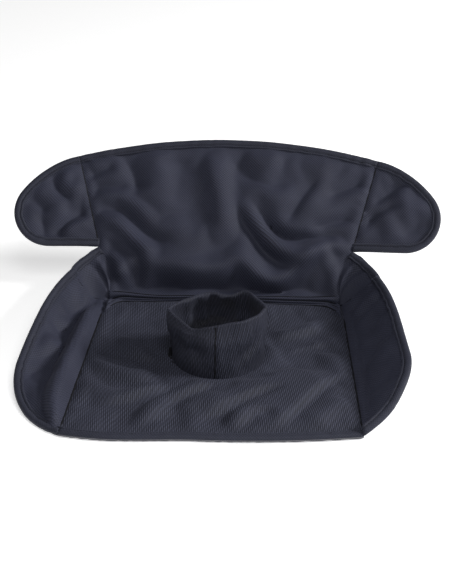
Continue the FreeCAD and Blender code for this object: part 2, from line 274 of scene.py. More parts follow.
# The lines that the panels share.
WAIST = SIDE_START[0] - 1.0
WAIST_LINE = line((-WAIST, 0), (WAIST, 0))
RIGHT_WAIST = bowed((WAIST, 0), NOTCH, WAIST_BOW)
RIGHT_WING_SEAM = line(NOTCH, WING_TOP)
CROWN = arc(CROWN_CENTRE, CROWN_RADIUS, math.pi / 2 - SLANT, math.pi / 2 + SLANT)
RIGHT_WING_EDGE = joined(
    line(NOTCH, TIP_CENTRE - (0, TIP_RADIUS)),
    arc(TIP_CENTRE, TIP_RADIUS, -math.pi / 2, WING_TIP_ANGLE),
    arc(NOTCH, WING_RADIUS, WING_TIP_ANGLE, math.pi / 2 - SLANT),
)
SEAT_REAR = SIDE_START[:2]
SEAT_REAR_LINE = line(SEAT_REAR * MIRROR, SEAT_REAR)
FRONT_HALF = SEAT_REAR[0] + (SEAT_REAR[1] + FRONT_REACH) * FORWARD[0] / -FORWARD[1]
FRONT_CORNER = np.array(
    [FRONT_HALF, FRONT_BOW - FRONT_REACH - math.sqrt(FRONT_BOW**2 - FRONT_HALF**2)]
)
FRONT_SWEEP = math.asin(FRONT_HALF / FRONT_BOW)
FRONT_LINE = arc(
    (0, FRONT_BOW - FRONT_REACH), FRONT_BOW, -math.pi / 2 - FRONT_SWEEP, -math.pi / 2 + FRONT_SWEEP
)
SIDE_LENGTH = np.linalg.norm(FRONT_CORNER - SEAT_REAR)
RIGHT_SIDE = line(FRONT_CORNER, SEAT_REAR)
CORNER_RUN = SIDE_LENGTH - CORNER_START
CORNER_RADIUS = (CORNER_RUN**2 + BOLSTER_WIDTH**2) / (2 * BOLSTER_WIDTH)


def bolster_reach(distance):
    """Return the bolster's width that far in front of its rear end."""
    ease = BOLSTER_REAR_EASE * np.clip(1 - distance / BOLSTER_FULL_AT, 0, 1) ** 2.2
    turned = np.clip(distance - CORNER_START, 0, CORNER_RUN)
    corner = np.sqrt(np.maximum(CORNER_RADIUS**2 - turned**2, 0)) - CORNER_RADIUS
    return BOLSTER_WIDTH - ease + corner


def unrolled(across, distance):
    """Return the bolster's points as if it lay flat beside the seat."""
    return SEAT_REAR + np.outer(distance, FORWARD) + np.outer(across, OUTWARD)


def bolster_edge():
    """Return the right bolster's outer edge, from its rear end to the front corner."""
    sweep = math.asin(CORNER_RUN / CORNER_RADIUS)
    straight = np.arange(BOLSTER_GAP, CORNER_START, 2.6)
    turned = np.sin(np.linspace(0, sweep, 44)) * CORNER_RADIUS
    distance = np.concatenate([straight, CORNER_START + turned])
    return unrolled(bolster_reach(distance), distance)


BOLSTER_EDGE = bolster_edge()
BOLSTER_REAR = line(BOLSTER_EDGE[0], unrolled([0.0], [BOLSTER_GAP])[0])


# ---------------------------------------------------------------- how cloth creases


def ripples(points, wavelength, seed):
    """Return gentle uneven waves between about -1 and 1."""
    draw = np.random.default_rng(seed)
    total = np.zeros(len(points))
    for turn, stretch, phase in draw.random((7, 3)):
        way = np.array([math.cos(turn * math.pi), math.sin(turn * math.pi)])
        length = wavelength * (0.7 + 0.8 * stretch)
        total += np.sin(points @ way * 2 * math.pi / length + phase * 2 * math.pi)
    return total / 3


def fold(points, width, height, lean, spine):
    """Return the height of a crease along a smooth spine. It reaches further on its left by lean,
    and a valley is sharper at its bottom than a ridge is at its top."""
    gap, along, side = beside(points, spline(spine))
    reach = np.maximum(width * (1 + lean * side), math.sqrt(2.4 * HALF * abs(height)))
    ends = smooth(along / 0.3) * smooth((1 - along) / 0.3)
    fading = np.exp(-((gap / reach) ** (2.0 if height > 0 else 1.75)))
    beyond = np.where((along <= 0) | (along >= 1), 0.0, ends)
    return height * fading * beyond


def creased(points, folds):
    """Return the sum of the folds' heights."""
    return sum((fold(points, *each) for each in folds), np.zeros(len(points)))


# Each fold: width, height (a valley is below 0), lean, and a few points that its spine passes.
# Many points on the back, the wings and the seat, and in the low valley and the slack ridge, are not
# chosen by hand: a helper program worked them out from places read off the photograph, and they were
# then rounded, extended or moved. The bolsters' points are chosen one by one.
BACK_FOLDS = [
    (7.5, -6.6, -0.3, [(6, 108), (22, 84), (42, 57), (64, 42), (84, 38)]),
    (8, 6, -0.3, [(12, 112), (33, 86), (51, 64), (72, 54), (98, 55)]),
    (7.5, -6.6, 0.3, [(20, 124), (35, 96), (52, 77), (72, 69), (104, 72), (132, 63)]),
    (10, 3.6, 0.4, [(42, 102), (60, 84), (88, 80), (116, 80)]),
    (11.5, -5.5, 0.3, [(-4, 170), (12, 147), (30, 133), (52, 126), (76, 136)]),
    (13, 3.6, 0.2, [(-24, 164), (-12, 130), (-6, 96), (4, 70)]),
    (11.5, 3.1, 0.0, [(12, 160), (34, 152), (60, 154)]),
    (7.5, -3.6, 0.3, [(62, 84), (80, 114), (99, 140)]),
    (6.5, -4.1, 0.3, [(100, 116), (127, 124), (150, 134)]),
    (5.5, -3.8, 0.3, [(82, 80), (107, 87), (136, 93)]),
    (8, -6.6, 0.3, [(-142, 92), (-119, 97), (-102, 89), (-88, 75), (-74, 66), (-46, 58)]),
    (7.5, 4.8, 0.3, [(-140, 80), (-120, 83), (-104, 73), (-86, 58), (-62, 48)]),
    (8, 3.1, -0.3, [(-140, 104), (-116, 110), (-94, 102), (-70, 82)]),
    (6.5, -4.3, 0.3, [(-155, 114), (-132, 120), (-98, 124)]),
    (10, -5.8, 0.3, [(-115, 164), (-102, 140), (-90, 112)]),
    (7.5, -5.8, 0.3, [(-156, 131), (-138, 137), (-114, 150)]),
    (7.5, 3.6, 0.0, [(-150, 142), (-132, 150), (-118, 160)]),
    (7, -4.2, 0.2, [(-131, 60), (-114, 55), (-102, 38), (-97, 18)]),
    (7, -3.8, -0.2, [(-106, 62), (-91, 48), (-87, 31), (-95, 10)]),
    (8, 3.0, 0.0, [(-123, 50), (-109, 41), (-104, 20)]),
    (16.5, 3.6, 0.0, [(20, 150), (60, 110), (112, 106)]),
    (18, -3.6, 0.2, [(-60, 100), (-52, 130), (-50, 162)]),
    (7.5, 4.1, 0.0, [(74, 40), (92, 56), (112, 62), (132, 55)]),
]
# The deep valley above the rear seam and the slack cloth that hangs over it.
LOW_VALLEY = [
    (-118, 11), (-95, 11), (-64, 16), (-30, 15), (3, 15), (22, 16), (46, 13), (70, 15), (95, 13),
    (119, 12),
]
SLACK_RIDGE = [
    (-122, 24), (-90, 44), (-64, 41), (-31, 36), (-4, 38), (14, 46), (28, 36), (46, 27), (62, 30),
    (78, 43), (96, 52), (118, 34),
]
WING_FOLDS = {
    "left": [
        (6.5, -4.8, 0.3, [(-184, 142), (-177, 118), (-158, 104)]),
        (7.5, 3.4, 0.0, [(-174, 144), (-168, 124), (-148, 113)]),
        (7.5, -4.1, 0.0, [(-210, 113), (-196, 101), (-184, 90)]),
        (5.5, -4.8, 0.3, [(-180, 60), (-164, 82), (-140, 93)]),
        (6.5, 3.1, 0.0, [(-172, 66), (-156, 80), (-140, 84)]),
        (5.5, -3.6, 0.0, [(-193, 92), (-187, 60)]),
        (8.5, -3.1, 0.0, [(-176, 92), (-154, 98), (-138, 92)]),
    ],
    "right": [
        (7.5, -4.3, 0.3, [(144, 102), (170, 120), (194, 137)]),
        (6.5, -4.1, 0.3, [(135, 80), (159, 99), (184, 110)]),
        (13.5, 3.1, 0.0, [(148, 90), (172, 106), (198, 112)]),
        (8.5, -2.4, 0.0, [(176, 70), (196, 84), (206, 104)]),
    ],
}
SEAT_FOLDS = [
    (12, -3.9, 0.3, [(-110, 80), (-77, 34), (-54, 2), (-38, -20)]),
    (10, 3.7, 0.3, [(-100, 44), (-84, 14), (-60, -10), (-42, -20)]),
    (7.5, -3.2, 0.3, [(-129, 9), (-104, -4), (-75, -15), (-40, -25)]),
    (10, 3.9, -0.4, [(-122, -16), (-98, -30), (-74, -38), (-46, -36)]),
    (7.5, -3.7, 0.3, [(-130, -16), (-104, -46), (-78, -57), (-60, -53), (-36, -40)]),
    (11, 4.8, 0.4, [(-112, -78), (-84, -74), (-60, -62), (-34, -48)]),
    (7.5, -3.7, 0.3, [(-96, -130), (-70, -96), (-51, -72), (-28, -53), (-10, -42)]),
    (11, 5.1, 0.4, [(-72, -124), (-48, -94), (-26, -70), (-6, -56), (12, -48)]),
    (6, -3, 0.3, [(-48, -99), (-26, -78), (-7, -64), (6, -50)]),
    (12, 5.5, 0.4, [(-30, -124), (-8, -100), (18, -78), (52, -54), (88, -34), (112, -16)]),
    (7, -3.9, 0.2, [(-8, -130), (13, -98), (42, -70), (70, -56)]),
    (9.5, 4.6, 0.4, [(10, -126), (34, -100), (56, -82), (76, -62)]),
    (6, -2.8, 0.0, [(24, -127), (38, -102), (60, -104)]),
    (11, 5.3, 0.6, [(44, -126), (60, -104), (74, -80), (90, -56), (112, -30)]),
    (6, -3.4, 0.2, [(57, -128), (72, -104), (84, -82), (98, -58), (124, -30)]),
    (8.5, 3, 0.0, [(84, -120), (102, -90), (116, -66)]),
    (8.5, -3.2, 0.3, [(38, 54), (75, 68), (120, 89)]),
    (8.5, 3.2, 0.2, [(46, 36), (76, 46), (104, 60)]),
    (7.5, -3.2, 0.3, [(42, 20), (74, 27), (92, 36), (120, 52)]),
    (7.5, 3, 0.2, [(60, 8), (84, 18), (104, 26)]),
    (7, -3.2, 0.2, [(70, 0), (92, 15), (113, 10), (126, 0)]),
    (10, -2.8, 0.2, [(-88, 84), (-40, 74), (-10, 82)]),
]
BOLSTER_FOLDS = {
    "left": [
        (8, -2.8, 0.0, [(-174, 30), (-150, 35), (-132, 26)]),
        (9, -2.6, 0.0, [(-182, -50), (-160, -44), (-138, -50)]),
        (10, 2.4, 0.0, [(-176, 0), (-158, 4), (-144, -2)]),
    ],
    "right": [
        (5.5, -2.4, 0.3, [(126, 86), (142, 92), (168, 92)]),
        (5.5, -2.2, 0.3, [(134, 64), (154, 72), (176, 72)]),
        (5, -2.4, 0.0, [(146, 38), (160, 44), (178, 42)]),
        (6, 2.4, 0.0, [(126, 76), (146, 83), (170, 82)]),
        (6, 2.0, 0.0, [(140, 54), (156, 60), (176, 58)]),
        (8, -2.2, 0.0, [(146, 4), (162, 8), (180, 4)]),
    ],
}


# ---------------------------------------------------------------- where a flat cut lies in the frame


SETTLED = {}  # what the simulation adds to each panel: a corner, a step and a grid of lifts


def settled(panel, points):
    """Return how far the simulation has lifted a panel's cloth, read between its grid's points."""
    if panel not in SETTLED:
        return np.zeros(len(points))
    corner, step, lifts = SETTLED[panel]
    spot = np.clip((points - corner) / step, 0, np.array(lifts.shape) - 1.001)
    cell = spot.astype(int)
    (i, j), (u, v) = cell.T, (spot - cell).T
    near = lifts[i, j] * (1 - v) + lifts[i, j + 1] * v
    far = lifts[i + 1, j] * (1 - v) + lifts[i + 1, j + 1] * v
    return near * (1 - u) + far * u


def away_from(points, *runs):
    """Return each point's distance from the nearest of the lines."""
    return np.min([beside(points, run)[0] for run in runs], axis=0)


def on_back(points, lift):
    """Put flat points of the back in the frame, lifted off its middle plane."""
    along, off = points[:, 1], lift
    return np.stack(
        [
            points[:, 0],
            HINGE[1] + along * math.cos(LEAN) - off * math.sin(LEAN),
            HINGE[2] + along * math.sin(LEAN) + off * math.cos(LEAN),
        ],
        axis=1,
    )


def valley_above_seam(points):
    """Return the height of the deep valley above the rear seam and of the slack over it."""
    low, high = spline(LOW_VALLEY, 60), spline(SLACK_RIDGE, 70)
    valley = np.interp(points[:, 0], low[:, 0], low[:, 1])
    ridge = np.interp(points[:, 0], high[:, 0], high[:, 1])
    off = points[:, 1] - valley
    narrow = np.where(off < 0, 0.55 * valley, 0.42 * (ridge - valley))
    deep = -9.5 * np.clip(0.55 * valley / 9.5, 0.5, 1)
    hollow = deep * np.exp(-(np.abs(off / narrow) ** 1.7))
    above = points[:, 1] - ridge
    slack = 6.5 * np.exp(-((above / np.where(above < 0, 0.40 * (ridge - valley) + 2, 15)) ** 2))
    return (hollow + slack) * smooth((WAIST + 4 - np.abs(points[:, 0])) / 26)


def back_lift(points):
    """Return how far creases lift the back's cloth off its middle plane."""
    seams = away_from(points, WAIST_LINE, RIGHT_WAIST, mirrored(RIGHT_WAIST))
    wings = away_from(points, RIGHT_WING_SEAM, mirrored(RIGHT_WING_SEAM))
    bound = away_from(points, CROWN)
    lift = creased(points, BACK_FOLDS) + 1.0 * ripples(points, 60, 3) + settled("back", points)
    lift *= 0.25 + 0.75 * smooth(bound / 26)
    lift *= smooth(wings / 12)
    lift += valley_above_seam(points)
    gathers = ripples(points, 13, 5) * 0.9 * np.exp(-wings / 9) * smooth(wings / 4)
    return lift * smooth((seams - 1) / 7) + gathers


def back_place(points):
    """Put the back's creased middle surface in the frame."""
    return on_back(points, back_lift(points))


def wing_lift(points, side):
    """Return how far creases lift a wing's cloth off its plane."""
    right = points * (SIDES[side], 1)
    seam, bound = away_from(right, RIGHT_WING_SEAM), away_from(right, RIGHT_WING_EDGE)
    lift = creased(points, WING_FOLDS[side]) + 0.8 * ripples(points, 45, 7)
    lift += settled(f"{side}_wing", points)
    return lift * smooth(seam / 10) * (0.3 + 0.7 * smooth(bound / 22))


def wing_place(points, side):
    """Put a wing's creased middle surface in the frame, folded a little forward at its seam."""
    sign = SIDES[side]
    right = points * (sign, 1)
    lift = wing_lift(points, side)
    out = (right - NOTCH) @ SEAM_OUT
    turned = np.maximum(out, 0)
    swung = right + np.outer(turned * (math.cos(WING_REST_FOLD) - 1), SEAM_OUT)
    swung = swung - np.outer(lift * math.sin(WING_REST_FOLD), SEAM_OUT)
    swung = swung - np.outer(smooth(turned / 80), [0, WING_DROOP])
    off = turned * math.sin(WING_REST_FOLD) + lift * math.cos(WING_REST_FOLD)
    return on_back(swung, off) * (sign, 1, 1)


def seat_lift(points):
    """Return how far creases lift the seat's top."""
    seams = away_from(points, RIGHT_SIDE, mirrored(RIGHT_SIDE), SEAT_REAR_LINE)
    bound = away_from(points, FRONT_LINE)
    hole = np.hypot(points[:, 0], points[:, 1]) - CUFF_FOOT
    lift = creased(points, SEAT_FOLDS) + 0.7 * ripples(points, 55, 11) + settled("seat", points)
    lift *= smooth(hole / 10)
    return np.clip(lift, -2.6, 6.5) * smooth(seams / 12) * (0.25 + 0.75 * smooth(bound / 24))


def pulled(placed):
    """Pull placed points near the front left corner forward, as the cloth lies there."""
    share = smooth((-placed[:, 0] - 10) / 100) * smooth((-placed[:, 1] - 20) / 100)
    return placed - np.outer(share, [0, FRONT_PULL, 0])


def seat_place(points):
    """Put the seat's middle surface in the frame. It lies on the floor, so it only rises."""
    rise = np.maximum(seat_lift(points), 0) * 0.75
    return pulled(np.column_stack([points, HALF + rise]))


def bolster_section(across, distance, side):
    """Return how far sideways and how high a bolster's cloth lies: a soft pad beside the seam,
    which widens towards the front, and then a wall that rises to the bound edge."""
    width = np.maximum(bolster_reach(distance), 1)
    slope = BOLSTER_SLOPE[side] * np.clip(1 - distance / BOLSTER_FLAT_AT[side], 0, 1)
    strip = 0.12 + 0.18 * smooth(distance / 40) + 0.22 * np.clip(distance / PAD_WIDE_AT, 0, 1)
    strip = width * strip * BOLSTER_STRIP[side]
    beyond = (across - strip + np.hypot(across - strip, WALL_TURN)) / 2
    share = np.clip(beyond / np.maximum(width - strip, 1), 0, 1)
    rise = width * np.sin(slope) * share ** BOLSTER_HOLLOW[side]
    run = (width * np.cos(slope) - strip) / np.maximum(width - strip, 1)
    over_pad = np.clip((across - 1.5) / strip, 0, 1) ** 0.85
    pad = np.minimum(BOLSTER_PAD[side] * strip, PAD_MOST) * np.sin(math.pi * over_pad) ** 2
    pad = pad * smooth(distance / 50) * smooth((width - 4) / 26)
    return across - beyond * (1 - run), rise + pad, slope


def bolster_lift(points, side, across, distance):
    """Return how far creases lift a bolster's cloth."""
    bound = bolster_reach(distance) - across
    lift = creased(points, BOLSTER_FOLDS[side]) + 1.0 * ripples(points, 38, 15)
    lift += settled(f"{side}_bolster", points)
    edge_wave = 1.0 * ripples(points, 70, 17) * smooth((distance - 20) / 30)
    return lift * smooth(bound / 16) * smooth(across / 9) + edge_wave * smooth(across / 40)


def bolster_place(points, side):
    """Put a bolster's creased middle surface in the frame."""
    sign = SIDES[side]
    from_rear = points * (sign, 1) - SEAT_REAR
    distance, across = from_rear @ FORWARD, from_rear @ OUTWARD
    sideways, rise, slope = bolster_section(across, distance, side)
    lift = bolster_lift(points, side, across, distance)
    sideways = sideways - lift * np.sin(slope)
    flat = SEAT_REAR + np.outer(distance, FORWARD) + np.outer(sideways, OUTWARD)
    height = HALF + np.maximum(rise + lift * np.cos(slope), -0.1)
    return pulled(np.column_stack([flat, height]) * (sign, 1, 1))


def corner_rear(side):
    """Return the bolster's rear end as flat points, from the side seam to the bound edge."""
    return line(BOLSTER_REAR[-1], BOLSTER_REAR[0], 1.5) * (SIDES[side], 1)


def part_way(run, share):
    """Return the points at shares from 0 to 1 of a placed line."""
    at = np.linspace(0, 1, len(run))
    return np.stack([np.interp(share, at, run[:, k]) for k in range(3)], axis=1)


CORNER_REACH = 46.0  # the corner's cut is about this long at the bound edge


def corner_place(points, side):
    """Put the corner between a bolster and the back in the frame. Its flat points are shares:
    how far up from the rear seam, and how far round from the bolster to the back."""
    sign = SIDES[side]
    up, round_it = points[:, 1] / CORNER_REACH, points[:, 0] / CORNER_REACH
    start = part_way(bolster_place(corner_rear(side), side), up)
    end = part_way(back_place(RIGHT_WAIST * (sign, 1)), up)
    span = np.linalg.norm(end - start, axis=1)[:, None] * 0.8
    leave = np.array([-FORWARD[0] * sign, -FORWARD[1], 0.0])
    arrive = np.array([-0.85 * sign, 0.35, 0.3])
    t = np.clip(round_it, 0, 1)[:, None]
    return (
        (2 * t**3 - 3 * t**2 + 1) * start
        + (t**3 - 2 * t**2 + t) * span * leave
        + (3 * t**2 - 2 * t**3) * end
        + (t**3 - t**2) * span * arrive
    )


# ---------------------------------------------------------------- meshes


def frames(place, points, reach=0.4):
    """Return the placed points and the surface's unit normals there."""
    here = place(points)
    across = place(points + (reach, 0)) - place(points - (reach, 0))
    along = place(points + (0, reach)) - place(points - (0, reach))
    normal = np.cross(across, along)
    return here, normal / np.maximum(np.linalg.norm(normal, axis=1), 1e-9)[:, None]


def cloth_mesh(name, points, faces, material, cloth=None, sharp=()):
    """Make a mesh object from millimetres. cloth holds each point's place on the flat cloth."""
    mesh = bpy.data.meshes.new(name)
    mesh.from_pydata((np.asarray(points) * MM).tolist(), [], [list(map(int, f)) for f in faces])
    mesh.validate()
    mesh.polygons.foreach_set("use_smooth", np.ones(len(mesh.polygons), bool))
    if len(sharp):
        wanted = {tuple(sorted(map(int, edge))) for edge in sharp}
        for edge in mesh.edges:
            if tuple(sorted(edge.vertices)) in wanted:
                edge.use_edge_sharp = True
    flat = np.asarray(points)[:, :2] if cloth is None else np.asarray(cloth)
    weave = mesh.attributes.new("cloth", "FLOAT_VECTOR", "POINT")
    padded = np.zeros((len(points), 3), np.float32)
    padded[:, : flat.shape[1]] = flat
    weave.data.foreach_set("vector", padded.ravel())
    mesh.materials.append(material)
    thing = bpy.data.objects.new(f"{name}_soft", mesh)
    bpy.context.scene.collection.objects.link(thing)
    return thing


def cloth_grid(along, across):
    """Return the places on the flat cloth of a grid of points, a row for each place along."""
    return np.stack(np.broadcast_arrays(along[:, None], across[None, :]), axis=2)


def rim_edges(triangles):
    """Return the directed edges that only one triangle uses."""
    edges = np.concatenate([triangles[:, [0, 1]], triangles[:, [1, 2]], triangles[:, [2, 0]]])
    known = {tuple(edge) for edge in edges}
    return np.array([edge for edge in edges if (edge[1], edge[0]) not in known])


def shell(name, low, high, triangles, flat, material):
    """Make a closed thin piece between two surfaces that share their triangles."""
    count = len(low)
    rim = rim_edges(triangles)
    faces = [*triangles, *(triangles[:, ::-1] + count)]
    faces += [(b, a, a + count, b + count) for a, b in rim]
    sharp = np.concatenate([rim, rim + count])
    return cloth_mesh(
        name, np.concatenate([high, low]), faces, material, np.concatenate([flat, flat]), sharp
    )


def swept(name, rings, material, cloth, closed=False):
    """Make a solid from rings of points that share their count, capped at both ends."""
    stations, around = rings.shape[:2]
    index = np.arange(stations * around).reshape(stations, around)
    faces = []
    last = stations if closed else stations - 1
    for k in range(last):
        a, b = index[k], index[(k + 1) % stations]
        faces += list(zip(a, np.roll(a, -1), np.roll(b, -1), b))
    if not closed:
        faces += [tuple(index[0][::-1]), tuple(index[-1])]
    return cloth_mesh(name, rings.reshape(-1, 3), faces, material, cloth.reshape(-1, 2))


# ---------------------------------------------------------------- how the cloth settles


def both_sides(run):
    """Return a line of the right side and its mirror image."""
    return [run, mirrored(run)]


SEAT_HOLE = arc((0, 0), CUFF_FOOT, 0, 2 * math.pi)[:-1]
BACK_SIDE = joined(RIGHT_WAIST, RIGHT_WING_SEAM)
BOLSTER_SEAM = line(unrolled([0.0], [BOLSTER_GAP])[0], FRONT_CORNER)
WING_CUT = joined(RIGHT_WING_EDGE, RIGHT_WING_SEAM[::-1])[:-1]
BOLSTER_CUT = joined(BOLSTER_EDGE, BOLSTER_SEAM[::-1], BOLSTER_REAR[::-1])[:-1]
SEAT_CUT = joined(FRONT_LINE, RIGHT_SIDE, SEAT_REAR_LINE[::-1], mirrored(RIGHT_SIDE))[:-1]
BACK_CUT = joined(WAIST_LINE, BACK_SIDE, CROWN, mirrored(BACK_SIDE))[:-1]
# Each panel's cut, the way to put it in the frame, and its hole.
PANELS = {
    "seat": (SEAT_CUT, seat_place, SEAT_HOLE),
    "back": (BACK_CUT, back_place, None),
}
for panel, cut, place in (("wing", WING_CUT, wing_place), ("bolster", BOLSTER_CUT, bolster_place)):
    for side in ("right", "left"):
        PANELS[f"{side}_{panel}"] = (cut * (SIDES[side], 1), partial(place, side=side), None)


def hang_cloth(panel, outline, place, hole, step=5.0):
    """Make a panel's cloth for the simulation, held at its edges and only loosely inside them."""
    flat, triangles = filled(outline, step, hole)
    mesh = bpy.data.meshes.new(f"{panel}_settling")
    mesh.from_pydata((place(flat) * MM).tolist(), [], triangles.tolist())
    cloth = bpy.data.objects.new(f"{panel}_settling", mesh)
    bpy.context.scene.collection.objects.link(cloth)
    edges = [np.concatenate([run, run[:1]]) for run in (outline, hole) if run is not None]
    held = 1 - (1 - SIM_HOLD) * smooth((away_from(flat, *edges) - 2) / 12)
    pins = cloth.vertex_groups.new(name="held")
    for k, weight in enumerate(held):
        pins.add([k], float(weight), "REPLACE")
    settings = cloth.modifiers.new("cloth", "CLOTH").settings
    settings.vertex_group_mass = "held"
    settings.shrink_min = -SIM_SLACK
    settings.quality = 6
    settings.mass = 0.15
    settings.bending_stiffness = SIM_BENDING
    settings.effector_weights.gravity = 0
    return cloth, flat


def lifts_on_grid(flat, lifts, step=3.0, spread=3.0):
    """Spread lifts at scattered flat points over an even grid."""
    corner = flat.min(axis=0) - step
    counts = (np.ceil((flat.max(axis=0) - corner) / step) + 1).astype(int)
    grid = np.zeros(counts)
    for i in range(counts[0]):
        row = corner + np.column_stack([np.full(counts[1], i), np.arange(counts[1])]) * step
        near = np.exp(-((row[:, None] - flat[None]) ** 2).sum(axis=2) / (2 * spread**2))
        grid[i] = near @ lifts / (near.sum(axis=1) + 1e-3)
    return corner, step, grid


def settle_panels():
    """Let every panel's cloth, cut a little too large for its seams, buckle between them."""
    hung = {panel: hang_cloth(panel, *how) for panel, how in PANELS.items()}
    scene = bpy.context.scene
    for number in range(1, SIM_FRAMES + 1):
        scene.frame_set(number)
    graph = bpy.context.evaluated_depsgraph_get()
    found = {}
    for panel, (cloth, flat) in hung.items():
        shape = cloth.evaluated_get(graph).to_mesh()
        moved = np.empty(len(shape.vertices) * 3)
        shape.vertices.foreach_get("co", moved)
        here, normal = frames(PANELS[panel][1], flat)
        lifts = ((moved.reshape(-1, 3) / MM - here) * normal).sum(axis=1)
        found[panel] = lifts_on_grid(flat, np.clip(lifts, -SIM_CAP, SIM_CAP))
    for cloth, _ in hung.values():
        mesh = cloth.data
        bpy.data.objects.remove(cloth)
        bpy.data.meshes.remove(mesh)
    scene.frame_set(1)
    SETTLED.update(found)


# ---------------------------------------------------------------- materials


class Nodes:
    """A material's node tree, built a node at a time."""

    def __init__(self, name):
        self.material = bpy.data.materials.new(name)
        self.material.use_nodes = True
        self.tree = self.material.node_tree
        self.shader = self.tree.nodes["Principled BSDF"]

    def add(self, kind, values=(), **settings):
        """Add a node. values go to its inputs: a number, a colour, or another node's output."""
        node = self.tree.nodes.new(kind)
        for key, value in settings.items():
            setattr(node, key, value)
        for socket, value in values:
            self.put(node.inputs[socket], value)
        return node

    def put(self, socket, value):
        """Set a socket, or link an output to it."""
        if isinstance(value, bpy.types.NodeSocket):
            self.tree.links.new(value, socket)
        else:
            socket.default_value = value

    def maths(self, operation, first, second=0.0, third=0.0):
        """Return the output of a math node."""
        node = self.add("ShaderNodeMath", [(0, first), (1, second), (2, third)], operation=operation)
        return node.outputs[0]

    def wave(self, first, first_per, second, second_per, phase=0.0):
        """Return a wave from 0 to 1 across the cloth, turning once per so many millimetres."""
        one = self.maths("MULTIPLY", first, 2 * math.pi / first_per if first_per else 0.0)
        two = self.maths("MULTIPLY", second, 2 * math.pi / second_per if second_per else 0.0)
        total = self.maths("ADD", self.maths("ADD", one, two), phase)
        return self.maths("MULTIPLY_ADD", self.maths("COSINE", total), 0.5, 0.5)

    def mixed(self, share, low, high):
        """Return a colour between two, by a share from 0 to 1."""
        node = self.add("ShaderNodeMix", data_type="RGBA", clamp_factor=True)
        self.put(node.inputs["Factor"], share)
        self.put(node.inputs["A"], (*low, 1))
        self.put(node.inputs["B"], (*high, 1))
        return node.outputs["Result"]


CLOTH_ROUGHNESS = 0.7
CLOTH_BLOTCH = 0.5  # how much the cloth's tone wanders


def fabric(name, dark, light, weave, relief, sheen):
    """Make a woven or knitted cloth. weave builds its height from 0 to 1 across the flat cloth."""
    nodes = Nodes(name)
    place = nodes.add("ShaderNodeAttribute", attribute_name="cloth").outputs["Vector"]
    parts = nodes.add("ShaderNodeSeparateXYZ", [(0, place)])
    height = weave(nodes, parts.outputs["X"], parts.outputs["Y"])
    fuzz, worn = (
        nodes.add(
            "ShaderNodeTexNoise", [("Vector", place), ("Scale", scale), ("Detail", detail)]
        ).outputs[0]
        for scale, detail in ((0.9, 4.0), (0.025, 3.0))
    )
    thread = nodes.maths("MULTIPLY_ADD", nodes.maths("SUBTRACT", fuzz, 0.5), 0.8, height)
    tone = nodes.maths("MULTIPLY_ADD", nodes.maths("SUBTRACT", worn, 0.5), CLOTH_BLOTCH, thread)
    nodes.put(nodes.shader.inputs["Base Color"], nodes.mixed(tone, dark, light))
    bump = nodes.add("ShaderNodeBump", [("Strength", 0.7), ("Distance", relief), ("Height", thread)])
    nodes.put(nodes.shader.inputs["Normal"], bump.outputs[0])
    rough = nodes.maths("MULTIPLY_ADD", worn, 0.12, CLOTH_ROUGHNESS - 0.06)
    nodes.put(nodes.shader.inputs["Roughness"], rough)
    nodes.shader.inputs["Specular IOR Level"].default_value = 0.22
    nodes.shader.inputs["Sheen Weight"].default_value = sheen
    nodes.shader.inputs["Sheen Roughness"].default_value = 0.45
    nodes.shader.inputs["Sheen Tint"].default_value = (0.62, 0.64, 0.85, 1)
    return nodes.material


def fine_twill(nodes, x, y):
    """A smooth cloth with close diagonal ribs."""
    rib = nodes.wave(x, 2.6, y, 2.6)
    cross = nodes.wave(x, 2.6, y, -2.6)
    return nodes.maths("MULTIPLY_ADD", rib, 0.55, nodes.maths("MULTIPLY", cross, 0.45))


def ribbed_knit(nodes, x, y):
    """Upright ribs with a hollow every few millimetres, stepped so that they run diagonally."""
    rib = nodes.wave(x, 1.8, y, 13.5)
    hollow = nodes.wave(x, 4.2, y, -8.5)
    both = nodes.maths("MULTIPLY", rib, nodes.maths("MULTIPLY_ADD", hollow, 0.7, 0.3))
    return nodes.maths("MULTIPLY_ADD", rib, 0.3, nodes.maths("MULTIPLY", both, 0.7))


def plain_weave(nodes, x, y):
    """A plain close weave."""
    return nodes.maths("MULTIPLY", nodes.wave(x, 0.8, y, 0), nodes.wave(x, 0, y, 0.8))


# Each cloth's dark and light colour, its weave, the weave's relief in metres, and its sheen.
CLOTHS = {
    "smooth_fabric": ((0.008, 0.0085, 0.016), (0.038, 0.041, 0.066), fine_twill, 0.0002, 0.05),
    # The cuff's finish is the seat's ribbed knit with darker colours: painted shade on the cuff.
    "cuff_fabric_painted_shade": ((0.004, 0.0042, 0.007), (0.038, 0.041, 0.065), ribbed_knit, 0.0004, 0.03),
    "ribbed_fabric": ((0.008, 0.0083, 0.013), (0.052, 0.056, 0.084), ribbed_knit, 0.0004, 0.05),
    "edge_tape": ((0.011, 0.0115, 0.019), (0.030, 0.0325, 0.050), fine_twill, 0.0002, 0.06),
    "backing_fabric": ((0.012, 0.012, 0.016), (0.024, 0.024, 0.032), plain_weave, 0.0002, 0.2),
    # The thread finish is near black, darker than the cloth: thread, with painted shade of the dents
    # and grooves it lies in.
    "thread": ((0.002, 0.002, 0.003), (0.005, 0.005, 0.008), plain_weave, 0.0001, 0.0),
}


